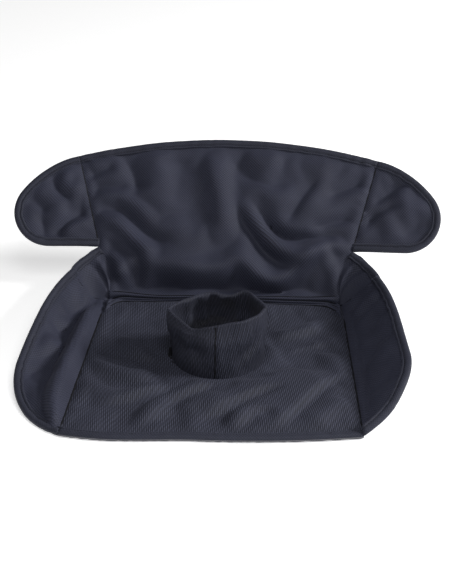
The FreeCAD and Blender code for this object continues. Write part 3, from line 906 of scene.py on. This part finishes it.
def make_materials():
    """Make the finish of each material slot, of the cuff and of the thread. The cuff's finish is the
    seat's ribbed knit painted darker, as painted shade; the thread's near-black colour also paints the
    shade of grooves.
    """
    made = {name: fabric(name.replace("_", " "), *how) for name, how in CLOTHS.items()}
    foam = Nodes("foam")
    cells = foam.add("ShaderNodeTexVoronoi", [("Scale", 900.0)]).outputs["Distance"]
    foam.put(
        foam.shader.inputs["Base Color"], foam.mixed(cells, (0.09, 0.09, 0.10), (0.15, 0.15, 0.16))
    )
    foam.shader.inputs["Roughness"].default_value = 0.9
    made["foam"] = foam.material
    film = Nodes("waterproof film")
    haze = film.add("ShaderNodeTexNoise", [("Scale", 60.0)]).outputs[0]
    film.put(
        film.shader.inputs["Base Color"], film.mixed(haze, (0.14, 0.15, 0.17), (0.20, 0.21, 0.23))
    )
    film.put(film.shader.inputs["Roughness"], film.maths("MULTIPLY_ADD", haze, 0.2, 0.2))
    made["waterproof_film"] = film.material
    return made


FINISH = make_materials()


# ---------------------------------------------------------------- how each piece moves


def ride_with(body):
    """Return a mover that makes a piece ride on a body."""
    return lambda piece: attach(piece, body)


def bend_between(start, end):
    """Return a mover that only bakes a piece's transform into its mesh; it does not bend it. start and
    end, in millimetres, are turned to metres and then not used.
    """
    start, end = tuple(np.asarray(start) * MM), tuple(np.asarray(end) * MM)
    return lambda piece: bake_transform(piece)


def wing_mover(side):
    """Return a mover for a wing, reckoned from its joint to the first stretch beyond its seam; it only
    bakes the wing's transform.
    """
    sign = SIDES[side]
    out = on_back(np.array([NOTCH + 12 * SEAM_OUT]), np.zeros(1))[0] * (sign, 1, 1)
    start = joint_at(f"{side}_wing_fold")
    return bend_between(start, out)


def bolster_mover(side):
    """Return a mover for a bolster, reckoned from its rear end; it only bakes the bolster's transform.
    """
    sign = SIDES[side]
    start = np.array([SEAT_REAR[0] * sign, SEAT_REAR[1] - BOLSTER_GAP, 0])
    return bend_between(start, start - (0, 55, 0))


def corner_mover():
    """Return a mover for a corner, reckoned from the rear seam; it only bakes the corner's transform.
    """
    start = np.array([0, SEAT_REAR[1] - 2.6, 0])
    return bend_between(start, start + (0, 13, 0))


BACK_UP = np.array([0, math.cos(LEAN), math.sin(LEAN)])
MOVERS = {
    "seat": ride_with("seat"),
    "back": bend_between(HINGE, HINGE + 14 * BACK_UP),
    **{f"{side}_wing": wing_mover(side) for side in SIDES},
    **{f"{side}_bolster": bolster_mover(side) for side in SIDES},
    **{f"{side}_corner": corner_mover() for side in SIDES},
}


def settle(piece, mover, slot, *nodes):
    """Let a finished piece stand for its CAD nodes and move. slot is not used."""
    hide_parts(*nodes)
    MOVERS[mover](piece)
    return piece


# ---------------------------------------------------------------- panels


# Each layer's share of the thickness, from the underside up, and its material slot.
LAYERS = {
    "backing": (0.0, 0.15, "backing_fabric"),
    "waterproof_film": (0.16, 0.22, "waterproof_film"),
    "foam": (0.23, 0.80, "foam"),
    "face_fabric": (0.81, 1.0, None),
}
PANEL_STEP = 2.9


def squeezed(points, seams, bounds):
    """Return the share of its thickness that the padding keeps near its seams and its binding."""
    keep = np.ones(len(points))
    for runs, least, reach in seams:
        keep = np.minimum(keep, least + (1 - least) * np.sqrt(smooth(away_from(points, *runs) / reach)))
    if bounds:
        gap = away_from(points, *bounds)
        keep = np.minimum(keep, 0.42 + 0.58 * smooth((gap - TAPE_WIDTH) / 8))
        keep *= 1 - 0.10 * np.exp(-(((gap - TAPE_WIDTH - 5) / 1.2) ** 2))
        keep *= 0.1 + 0.9 * smooth(gap / 2)
    return keep


def make_panel(panel, surfaces, cloth_name):
    """Make a panel's four layers between its lower and upper surface."""
    outline, _, hole = PANELS[panel]
    flat, triangles = filled(outline, PANEL_STEP, hole)
    low, high = surfaces(flat)
    for layer, (low_share, high_share, slot) in LAYERS.items():
        slot = slot or cloth_name
        name = f"{panel}_{layer}"
        piece = shell(
            name,
            low + (high - low) * low_share,
            low + (high - low) * high_share,
            triangles,
            flat,
            FINISH[slot],
        )
        settle(piece, panel, slot, name)


def laminate(place, keep):
    """Return a function that gives a panel's lower and upper surface."""

    def surfaces(points):
        middle, normal = frames(place, points)
        half = (HALF * keep(points))[:, None] * normal
        return middle - half, middle + half

    return surfaces


def make_back_panel():
    """The back, from the rear seam to the crown."""
    sides, wings = both_sides(RIGHT_WAIST), both_sides(RIGHT_WING_SEAM)

    def keep(points):
        return squeezed(points, [([WAIST_LINE, *sides], 0.35, 9), (wings, 0.22, 7)], [CROWN])

    make_panel("back", laminate(back_place, keep), "smooth_fabric")


def make_wing_panel(side):
    """A wing, from its slanted seam to its rounded tip."""
    panel = f"{side}_wing"

    def keep(points):
        return squeezed(points * (SIDES[side], 1), [([RIGHT_WING_SEAM], 0.4, 6)], [RIGHT_WING_EDGE])

    make_panel(panel, laminate(PANELS[panel][1], keep), "smooth_fabric")


def make_seat_panel():
    """The seat, flat underneath, with a round hole for the cuff."""
    seams = [SEAT_REAR_LINE, *both_sides(RIGHT_SIDE)]

    def surfaces(points):
        lift = seat_lift(points)
        keep = squeezed(points, [(seams, 0.25, 7), ([SEAT_HOLE], 0.72, 8)], [FRONT_LINE])
        low = HALF * (1 - keep) * 0.7 + np.maximum(lift, 0) * 0.7
        high = HALF * (1 + keep) + lift
        high = np.maximum(high, low + 1.2)
        return pulled(np.column_stack([points, low])), pulled(np.column_stack([points, high]))

    make_panel("seat", surfaces, "ribbed_fabric")


def make_bolster_panel(side):
    """A bolster, from its side seam to its bound edge."""
    panel = f"{side}_bolster"

    def keep(points):
        return squeezed(points * (SIDES[side], 1), [([BOLSTER_SEAM], 0.3, 6)], [BOLSTER_EDGE])

    make_panel(panel, laminate(PANELS[panel][1], keep), "smooth_fabric")


def make_corner(side):
    """The corner's pleated cloth, between the bolster's rear end and the back."""
    reach = CORNER_REACH
    corners = [(0, 0), (reach, 0), (reach, reach), (0, reach), (0, 0)]
    outline = joined(*(line(a, b, 2) for a, b in zip(corners[:-1], corners[1:])))[:-1]
    flat, triangles = filled(outline, 2.0)

    def place(points):
        return corner_place(points, side)

    middle, normal = frames(place, flat)
    facing = np.array([-1.0 * SIDES[side], -1.0, 1.0])
    if (normal @ facing).sum() < 0:
        normal, triangles = -normal, triangles[:, ::-1]
    gap_back = reach - flat[:, 0]
    rise = smooth(flat[:, 1] / 10) * 1.0
    pleats = rise * (
        1.6 * np.exp(-(((gap_back - 13 * flat[:, 1] / reach) / 3.2) ** 2))
        - 1.8 * np.exp(-(((gap_back - 24 * flat[:, 1] / reach) / 3.0) ** 2))
    )
    keep = 0.45 + 0.35 * smooth(gap_back / 5)
    keep = np.minimum(keep, 0.42 + 0.58 * smooth((reach - flat[:, 1] - TAPE_WIDTH) / 8))
    middle = middle + normal * (pleats * smooth(gap_back / 4) * smooth(flat[:, 0] / 8))[:, None]
    half = HALF * keep[:, None] * normal
    name = f"{side}_corner_pleat"
    cloth = flat * (SIDES[side], 1)
    piece = shell(name, middle - half, middle + half, triangles, cloth, FINISH["smooth_fabric"])
    settle(piece, f"{side}_corner", "smooth_fabric", name)


# ---------------------------------------------------------------- bindings


def tape_outline():
    """Return the folded tape's section: distances in from the edge, and heights off the middle."""
    outer = [
        (0, 0), (0.3, 1.3), (1.3, 2.4), (2.7, 2.9), (4.3, 2.9), (5.4, 2.5), (6.1, 1.6),
        (6.6, 2.0), (7.4, 2.4), (8.2, 2.2), (8.8, 1.5),
    ]
    inner = [(8.5, 1.15), (7.2, 1.15), (6.1, 1.15), (4.2, 1.9), (2.2, 1.5), (1.1, 0.8), (0.9, 0)]
    top = outer + inner
    bottom = [(a, -b) for a, b in top[::-1] if b > 0]
    return np.array(top + bottom)


def make_tape(name, place, edge, inward, mover, facing=None):
    """Fold a tape over a bound edge. edge and inward are flat points, the second a little inside."""
    here, normal = frames(place, edge)
    into = place(inward) - here
    if facing is not None and (normal @ facing).sum() < 0:
        normal = -normal
    into -= normal * (into * normal).sum(axis=1)[:, None]
    into = unit(into)
    along, outline = travelled(here), tape_outline()
    spot = here[:, :2] + here[:, 2:] * 0.7
    pucker = 0.10 * ripples(spot, 9, 21) + 0.05 * ripples(spot, 4.5, 22)
    shift = 0.35 * ripples(spot, 11, 23)
    inner = outline[:, 0][None, :] + shift[:, None] * (outline[:, 0] > 3)[None, :]
    height = outline[:, 1][None, :] * (1 + pucker)[:, None]
    rings = here[:, None] + into[:, None] * inner[:, :, None] + normal[:, None] * height[:, :, None]
    rings[:, :, 2] = np.maximum(rings[:, :, 2], 0.05)
    cloth = cloth_grid(along, travelled(outline))
    ahead = here[min(5, len(here) - 1)] - here[0]
    if np.dot(np.cross(into[0], normal[0]), ahead) > 0:
        rings, cloth = rings[:, ::-1], cloth[:, ::-1]
    piece = swept(name, rings, FINISH["edge_tape"], cloth)
    settle(piece, mover, "edge_tape", name)
    make_stitches(f"{name}_stitches", here, into, normal, along, mover)


def make_stitches(name, here, into, normal, along, mover):
    """Sew a row of stitches along a tape, on the face and underneath."""
    pitch, length, radius, sides = 3.3, 2.3, 0.33, 6
    points, faces = [], []
    for row in (1, -1):
        line_at = here + into * STITCH_INSET + normal * STITCH_HEIGHT * row
        for start in np.arange(pitch / 2, along[-1] - length, pitch):
            ends = [start, start + 0.25 * length, start + 0.75 * length, start + length]
            middle = [np.array([np.interp(s, along, line_at[:, k]) for k in range(3)]) for s in ends]
            way = middle[-1] - middle[0]
            way /= np.linalg.norm(way)
            up = np.array([np.interp(start, along, normal[:, k]) for k in range(3)]) * row
            side = np.cross(way, up)
            base = len(points)
            for spot, size, sink in zip(middle, (0.35, 1, 1, 0.35), (-0.5, 0, 0, -0.5)):
                for k in range(sides):
                    turn = 2 * math.pi * k / sides
                    off = side * math.cos(turn) + up * math.sin(turn)
                    points.append(spot + up * sink + off * radius * size)
            for ring in range(3):
                for k in range(sides):
                    a, b = base + ring * sides + k, base + ring * sides + (k + 1) % sides
                    faces.append((a, b, b + sides, a + sides))
            faces.append(tuple(base + k for k in reversed(range(sides))))
            faces.append(tuple(base + 3 * sides + k for k in range(sides)))
    # The stitches are thread, with the shade of their dents painted into its near-black colour.
    piece = cloth_mesh(name, points, faces, FINISH["thread"])
    MOVERS[mover](piece)


def into_cut(edge, outward_sign=1):
    """Return flat points a little inside a bound edge, to the left of the way it runs."""
    way = unit(np.gradient(edge, axis=0))
    return edge + outward_sign * np.column_stack([-way[:, 1], way[:, 0]])


def make_tapes():
    """Bind the crown, the wings, the bolsters, the corners and the seat's front edge."""
    make_tape("back_top_tape", back_place, CROWN, into_cut(CROWN), "back")
    make_tape("seat_front_tape", seat_place, FRONT_LINE, into_cut(FRONT_LINE), "seat")
    for side, sign in SIDES.items():
        for panel, run, turn in (("wing", RIGHT_WING_EDGE, sign), ("bolster", BOLSTER_EDGE, -sign)):
            edge, name = run * (sign, 1), f"{side}_{panel}"
            make_tape(f"{name}_tape", PANELS[name][1], edge, into_cut(edge, turn), name)
        edge = line((-1, CORNER_REACH), (CORNER_REACH + 1, CORNER_REACH), 2)
        facing = np.array([-1.0 * sign, -1.0, 1.0])
        place = partial(corner_place, side=side)
        make_tape(f"{side}_corner_tape", place, edge, edge - (0, 1), f"{side}_corner", facing)


# ---------------------------------------------------------------- seams


def make_cord(name, points, radius, mover):
    """Make a rolled seam: a slightly uneven roll of cloth along a line, coloured near black: painted
    shade of the seam's groove.
    """
    way = unit(np.gradient(points, axis=0))
    side = unit(np.cross(way, [0, 0, 1.0]))
    up = np.cross(side, way)
    turns = np.linspace(0, 2 * math.pi, 11)[:-1]
    size = radius * (1 + 0.12 * ripples(points[:, :2], 7, 31))
    ends = np.minimum(np.arange(len(points)), np.arange(len(points))[::-1])
    size = size * np.sqrt(smooth((ends + 1) / 3))
    rings = points[:, None] + size[:, None, None] * (
        np.cos(turns)[None, :, None] * side[:, None]
        + np.sin(turns)[None, :, None] * up[:, None]
    )
    cloth = cloth_grid(travelled(points), turns * radius)
    # The near-black finish is painted shade in the seam's groove.
    piece = swept(name, rings, FINISH["thread"], cloth)
    if name in frame["nodes"]:
        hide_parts(name)
    MOVERS[mover](piece)


def make_seams():
    """Roll the seams of the wings and of the sides, deep between their panels."""
    for side, sign in SIDES.items():
        seam = RIGHT_WING_SEAM[2:-3]
        points = on_back(seam, np.full(len(seam), 0.25)) * (sign, 1, 1)
        make_cord(f"{side}_wing_seam", points, 1.0, "back")
        seam = RIGHT_SIDE[4:-11]
        points = np.column_stack([seam, np.full(len(seam), HALF + 0.4)]) * (sign, 1, 1)
        make_cord(f"{side}_side_seam", pulled(points), 1.15, "seat")


TUCK_CORNER = (20.0, 32.0)  # how far in and forward the side seams turn into the rear seam


def make_rear_tuck():
    """The tucked band over the rear seam: flat rolls of cloth, wider towards both ends."""
    stations, ribs = 121, 49
    across = np.linspace(-WAIST + 1.5, WAIST - 1.5, stations)
    share = np.abs(across) / WAIST
    flat_line = np.column_stack([across, across * 0])
    wave = ripples(flat_line, 46, 41)
    turned = np.clip((np.abs(across) - WAIST + TUCK_CORNER[0]) / TUCK_CORNER[0], 0, 1)
    corner = TUCK_CORNER[1] * (1 - np.sqrt(1 - turned**2))
    below = 1.5 + 7.0 * share**2.2 + 0.8 * wave + corner
    above = 6.0 + 3.6 * share**1.5 + 0.9 * ripples(flat_line, 60, 42)
    t = np.linspace(0, 1, ribs)
    top, low, cloth = [], [], []
    for x, down, up, ease in zip(across, below, above, share):
        run = -down + (down + up) * t
        rolls = np.abs(np.sin(3 * math.pi * t)) ** 0.7
        swell = 0.2 + np.sin(math.pi * t) ** 0.4 * (1.4 + 0.9 * ease) * rolls
        middle_y = np.where(run < 0, HINGE[1] + run, HINGE[1] + run * math.cos(LEAN))
        middle_z = np.where(run < 0, HINGE[2], HINGE[2] + run * math.sin(LEAN))
        tilt = LEAN * smooth((run + 5) / 10)
        lift = 0.5 + swell + 2.1 * smooth(np.abs(run) / 7)
        middle = np.column_stack([np.full(ribs, x), middle_y, middle_z])
        up_here = np.column_stack([np.zeros(ribs), -np.sin(tilt), np.cos(tilt)])
        top.append(middle + lift[:, None] * up_here)
        low.append(middle - 0.8 * up_here)
        cloth.append(np.column_stack([np.full(ribs, x), run]))
    top, low, cloth = np.array(top), np.array(low), np.array(cloth)
    rings = np.concatenate([top, low[:, ::-1]], axis=1)
    flat = np.concatenate([cloth, cloth[:, ::-1]], axis=1)
    piece = swept("rear_seam_tuck", rings[::-1], FINISH["smooth_fabric"], flat[::-1])
    settle(piece, "back", "smooth_fabric", "rear_seam_tuck")
    # Near-black cords along four of the tuck's grooves: painted shade of the grooves, drawn as thread.
    for number, at in enumerate((1, 17, 33, 47)):
        make_cord(f"rear_seam_thread_{number}", top[2:-2, at], 0.55, "back")


# ---------------------------------------------------------------- the buckle cuff


# The rim as it stands open: a few corners where the doubled cloth turns, with their heights. Some
# started as places that the same helper program worked out from the photograph.
RIM = [
    (44, -1, 57), (41, 9, 57), (30, 26, 58), (22, 31, 57.5), (10, 28, 54), (-6, 31, 55.5),
    (-22, 27, 54), (-38, 12, 54), (-46.5, 1, 54), (-44, -6, 52.5), (-32, -20, 49),
    (-22, -29, 47), (-8, -31.5, 51), (12, -31.5, 55.5), (29, -26, 57.5), (38, -18, 57.5),
]
CUFF_PLY = 1.5
CUFF_AROUND = 180
CUFF_LEVELS = 27
# The hem starts all round at one height.
HEM_FROM = 21
HEM_LEVEL = min(HEM_LOW, min(height for _, _, height in RIM) - 4.5)
PLY_TALL = 52  # a ply's cloth from foot to rim
RIM_TURN = 6  # the cloth that turns over the rim


def cuff_rim():
    """Return the rim's distance from the axis and its height, at even angles round it."""
    rim = np.array(RIM, float)
    looped = np.concatenate([rim[-2:], rim, rim[:2]])
    curve = spline(looped, 900)
    turn = np.unwrap(np.arctan2(curve[:, 1], curve[:, 0]))
    angles = np.linspace(0, 2 * math.pi, CUFF_AROUND, endpoint=False)
    out = []
    for values in (np.hypot(curve[:, 0], curve[:, 1]), curve[:, 2]):
        order = np.argsort(turn)
        out.append(np.interp(angles, turn[order], values[order], period=2 * math.pi))
    return angles, out[0], out[1]


CUFF_FOLDS = [
    # width, depth, lean, spine in (millimetres round from the right, height)
    (6, -2.4, 0.0, [(-12, 48), (-26, 36), (-40, 22), (-52, 8)]),
    (7, 2.0, 0.0, [(-14, 30), (-30, 20), (-44, 12)]),
    (7, -2.0, 0.0, [(-96, 52), (-90, 34), (-92, 16)]),
    (9, 1.6, 0.0, [(-80, 44), (-78, 26), (-80, 12)]),
    (6, -1.8, 0.0, [(-30, 9), (-48, 6), (-64, 8)]),
    (8, -1.6, 0.0, [(-118, 44), (-112, 26), (-104, 12)]),
    (11, -2.6, 0.0, [(-124, 30), (-104, 28), (-84, 25), (-66, 20)]),
]
LINING_FOLDS = [
    (6.5, 6.5, 0.2, [(88, 62), (87, 40), (86, 16)]),
    (6.0, 5.0, -0.2, [(66, 62), (68, 42), (72, 18)]),
    (6.5, 6.0, 0.0, [(40, 62), (42, 40), (44, 16)]),
    (7.0, 5.0, 0.0, [(112, 60), (110, 38), (108, 16)]),
]


def round_cuff(angles):
    """Return places round the cuff in millimetres, from -half to half of its girth."""
    turned = (angles + math.pi) % (2 * math.pi) - math.pi
    return turned * CUFF_FOOT


def cuff_wall_points(share, rim_radius, rim_height, angles):
    """Return the outer ply's points at a share of the way up, before its hem turns over."""
    hem_share = HEM_FROM / (CUFF_LEVELS - 1)
    below = HALF + (HEM_LEVEL - HALF) * share / hem_share
    above = HEM_LEVEL + (rim_height - HEM_LEVEL) * (share - hem_share) / (1 - hem_share)
    z = above if share > hem_share else below + 0 * rim_height
    belly = 2.3 * math.exp(-(((share - 0.72) / 0.2) ** 2))
    radius = CUFF_FOOT + (rim_radius - CUFF_FOOT) * share**1.35 + belly * min(1, share * 8)
    places = np.column_stack([round_cuff(angles), z])
    lift = creased(places, CUFF_FOLDS) + 0.5 * ripples(places, 26, 51) + 0.2 * ripples(places, 10, 52)
    seam = np.exp(-(((round_cuff(angles) + math.pi / 2 * CUFF_FOOT + 1) / 1.1) ** 2))
    radius = radius + (lift * math.sin(math.pi * min(share, 0.62))) - 0.5 * seam
    return radius, z


def cuff_rings():
    """Return the cuff's outer surface, over the rim and down the lining, as rings of points."""
    angles, rim_radius, rim_height = cuff_rim()
    rings, levels = [], []
    fold = CUFF_PLY + 0.3
    for share in np.linspace(0, 1, CUFF_LEVELS):
        top = rim_height - fold
        radius, z = cuff_wall_points(share, rim_radius, top, angles)
        rings.append((radius, z))
        levels.append(share * PLY_TALL)
    for turn in np.linspace(0, math.pi, 9)[1:-1]:
        radius = rings[CUFF_LEVELS - 1][0] - fold * (1 - math.cos(turn))
        rings.append((radius, rim_height - fold + fold * math.sin(turn)))
        levels.append(PLY_TALL + turn * fold)
    for share in np.linspace(1, 0, CUFF_LEVELS):
        top = rim_height - fold
        radius, z = cuff_wall_points(share, rim_radius, top, angles)
        places = np.column_stack([round_cuff(angles), z])
        folds = creased(places, LINING_FOLDS) * min(1.0, 0.35 + 1.3 * (1 - share))
        rings.append((radius - 2 * fold - folds, z))
        levels.append(PLY_TALL + RIM_TURN + (1 - share) * PLY_TALL)
    points = [
        np.column_stack([radius * np.cos(angles), radius * np.sin(angles), z]) for radius, z in rings
    ]
    return np.array(points), np.array(levels), angles


def ply(name, rings, levels, angles):
    """Make one ply of the cuff: a closed band with its cloth's thickness."""
    across = np.roll(rings, -1, axis=1) - np.roll(rings, 1, axis=1)
    along = np.gradient(rings, axis=0)
    normal = unit(np.cross(across, along))
    inner = rings - normal * (CUFF_PLY * 0.8)
    stations, around = rings.shape[:2]
    index = np.arange(stations * around).reshape(stations, around)
    count = stations * around
    faces, sharp = [], []
    for k in range(stations - 1):
        a, b = index[k], index[k + 1]
        faces += list(zip(a, np.roll(a, -1), np.roll(b, -1), b))
        faces += list(zip(a + count, b + count, np.roll(b, -1) + count, np.roll(a, -1) + count))
    for ring, flip in ((index[0], True), (index[-1], False)):
        nxt = np.roll(ring, -1)
        quads = list(zip(ring, nxt, nxt + count, ring + count))
        faces += [q[::-1] for q in quads] if flip else quads
        sharp += list(zip(ring, nxt)) + list(zip(ring + count, nxt + count))
    girth = angles * CUFF_FOOT
    cloth = cloth_grid(levels, girth)[:, :, ::-1].reshape(-1, 2)
    points = np.concatenate([rings.reshape(-1, 3), inner.reshape(-1, 3)])
    # The cuff's finish is painted darker than the same knit on the seat: painted shade.
    return cloth_mesh(name, points, faces, FINISH["cuff_fabric_painted_shade"], np.concatenate([cloth] * 2), sharp)


def make_cuff():
    """The doubled tube round the buckle: wall, hem and lining, its front seam and foot tape."""
    rings, levels, angles = cuff_rings()
    hem_to = len(rings) - 1 - HEM_FROM
    spans = {
        "cuff_wall": (0, HEM_FROM),
        "cuff_hem": (HEM_FROM, hem_to),
        "cuff_lining": (hem_to, len(rings) - 1),
    }
    for name, (first, last) in spans.items():
        piece = ply(name, rings[first : last + 1], levels[first : last + 1], angles)
        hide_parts(name)
        if name == "cuff_hem":
            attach(piece, "cuff_top")
        else:
            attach(piece, "seat")
            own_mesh(piece)
    seam = make_front_seam("cuff_front_seam", rings[1 : HEM_FROM + 1], angles)
    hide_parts("cuff_front_seam")
    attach(seam, "seat")
    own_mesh(seam)
    seam = make_front_seam("cuff_front_seam_hem", rings[HEM_FROM : CUFF_LEVELS + 1], angles)
    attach(seam, "cuff_top")
    make_foot_tape()


def make_front_seam(name, rings, angles):
    """Make a run of the upright seam that closes the tube, at the front. Its near-black strip is the
    seam with the shade of its groove painted in.
    """
    seam_at = (-math.pi / 2 * CUFF_FOOT - 1.0) / CUFF_FOOT % (2 * math.pi)
    spots = np.array([[np.interp(seam_at, angles, ring[:, k]) for k in range(3)] for ring in rings])
    width, proud, sunk = 0.55, 0.35, -0.9
    shoulder = proud * 0.5
    offsets = [(-width, sunk), (width, sunk), (width, shoulder), (0, proud), (-width, shoulder)]
    out = unit(spots * (1, 1, 0))
    side = np.cross(out, [0, 0, 1.0])
    section = np.stack([side * a + out * b for a, b in offsets], axis=1)
    cloth = cloth_grid(spots[:, 2], np.arange(5.0))
    # The near-black finish paints the shade of the seam's groove.
    return swept(name, (spots[:, None] + section)[:, ::-1], FINISH["thread"], cloth)


def make_foot_tape():
    """The flat ring of seam allowance round the cuff's foot. Its near-black colour is a painted contact
    shadow where the cuff meets the seat.
    """
    inner_radius, outer_radius = CUFF_FOOT + 0.4, CUFF_FOOT + 4.6
    angles = np.linspace(0, 2 * math.pi, 120, endpoint=False)
    flat = np.column_stack([np.cos(angles), np.sin(angles)])
    uneven = 0.5 * ripples(flat * 44, 16, 61)
    rings = []
    base = SEAT_TOP - 2.2
    for spot, slack in zip(flat, uneven):
        section = [
            (inner_radius, base), (outer_radius + slack, base),
            (outer_radius + slack, base + 0.9), (outer_radius - 1 + slack, base + 1.35),
            ((inner_radius + outer_radius) / 2, base + 1.6), (inner_radius, base + 1.5),
        ]
        rings.append([(spot[0] * r, spot[1] * r, z) for r, z in section])
    rings = np.array(rings)
    cloth = rings[:, :, :2]
    # The foot tape takes the near-black thread finish: a painted contact shadow round the cuff's foot.
    piece = swept("cuff_foot_tape", rings, FINISH["thread"], cloth, closed=True)
    settle(piece, "seat", "edge_tape", "cuff_foot_tape")


# ---------------------------------------------------------------- stage


def make_floor():
    """A plain pale floor with far walls. It glows, but not under the cuff."""
    mesh = bpy.data.meshes.new("floor")
    reach, wall = 12.0, 0.9
    turns = [(-1, -1), (1, -1), (1, 1), (-1, 1)]
    points = [(reach * x, reach * y, z) for z in (-0.0005, wall) for x, y in turns]
    walls = [(k, k + 4, (k + 1) % 4 + 4, (k + 1) % 4) for k in range(4)]
    mesh.from_pydata(points, [], [(0, 1, 2, 3), *walls])
    floor = bpy.data.objects.new("floor", mesh)
    bpy.context.scene.collection.objects.link(floor)
    nodes = Nodes("pale floor")
    grain = nodes.add("ShaderNodeTexNoise", [("Scale", 3.0)]).outputs[0]
    tone = nodes.mixed(grain, (0.92, 0.92, 0.92), (0.94, 0.94, 0.94))
    nodes.put(nodes.shader.inputs["Base Color"], tone)
    nodes.shader.inputs["Roughness"].default_value = 0.9
    nodes.shader.inputs["Specular IOR Level"].default_value = 0.1
    nodes.shader.inputs["Emission Color"].default_value = (1, 1, 1, 1)
    place = nodes.add("ShaderNodeTexCoord").outputs["Object"]
    away = nodes.add("ShaderNodeVectorMath", [(0, place)], operation="LENGTH").outputs["Value"]
    dark_to, full_from, glow = 0.07, 0.10, 0.56
    spread = [(0, away), (1, dark_to), (2, full_from), (3, 0.0), (4, glow)]
    shown = nodes.add("ShaderNodeMapRange", spread)
    nodes.put(nodes.shader.inputs["Emission Strength"], shown.outputs[0])
    mesh.materials.append(nodes.material)


def make_softbox(name, place, aim, size, watts):
    """Add a square soft light that shines from a place towards another."""
    data = bpy.data.lights.new(name, "AREA")
    data.size, data.energy = size, watts
    lamp = bpy.data.objects.new(name, data)
    lamp.location = place
    lamp.rotation_euler = (Vector(aim) - Vector(place)).to_track_quat("-Z", "Y").to_euler()
    bpy.context.scene.collection.objects.link(lamp)


def make_stage():
    """Floor, lights, background and camera."""
    make_floor()
    make_softbox("key light", (2.20, 0.05, 1.35), (0, 0.02, 0.03), 0.6, 68.0)
    make_softbox("front light", (0.02, -0.28, 0.50), (0, 0.0, 0.03), 0.3, 1.75)
    world = bpy.data.worlds.new("studio")
    world.use_nodes = True
    sky = world.node_tree.nodes["Background"]
    sky.inputs["Color"].default_value = (1, 1, 1, 1)
    sky.inputs["Strength"].default_value = 0.14
    bpy.context.scene.world = world
    bpy.context.scene.view_settings.view_transform = "Standard"

    azimuth, elevation, distance = math.radians(2.77), math.radians(28), 1.1
    target = Vector((0, 0.046, 0.040))
    away = Vector(
        (
            math.sin(azimuth) * math.cos(elevation),
            -math.cos(azimuth) * math.cos(elevation),
            math.sin(elevation),
        )
    )
    data = bpy.data.cameras.new("camera")
    data.sensor_width, data.lens = 36, 70.6
    data.shift_x, data.shift_y = 0.0090, 0.0110
    data.clip_start, data.clip_end = 0.05, 60
    camera = bpy.data.objects.new("camera", data)
    camera.location = target + away * distance
    camera.rotation_euler = (-away).to_track_quat("-Z", "Y").to_euler()
    bpy.context.scene.collection.objects.link(camera)
    bpy.context.scene.camera = camera


# ---------------------------------------------------------------- the whole liner

settle_panels()
make_seat_panel()
make_back_panel()
for side in SIDES:
    make_wing_panel(side)
    make_bolster_panel(side)
    make_corner(side)
make_tapes()
make_seams()
make_rear_tuck()
make_cuff()
make_stage()
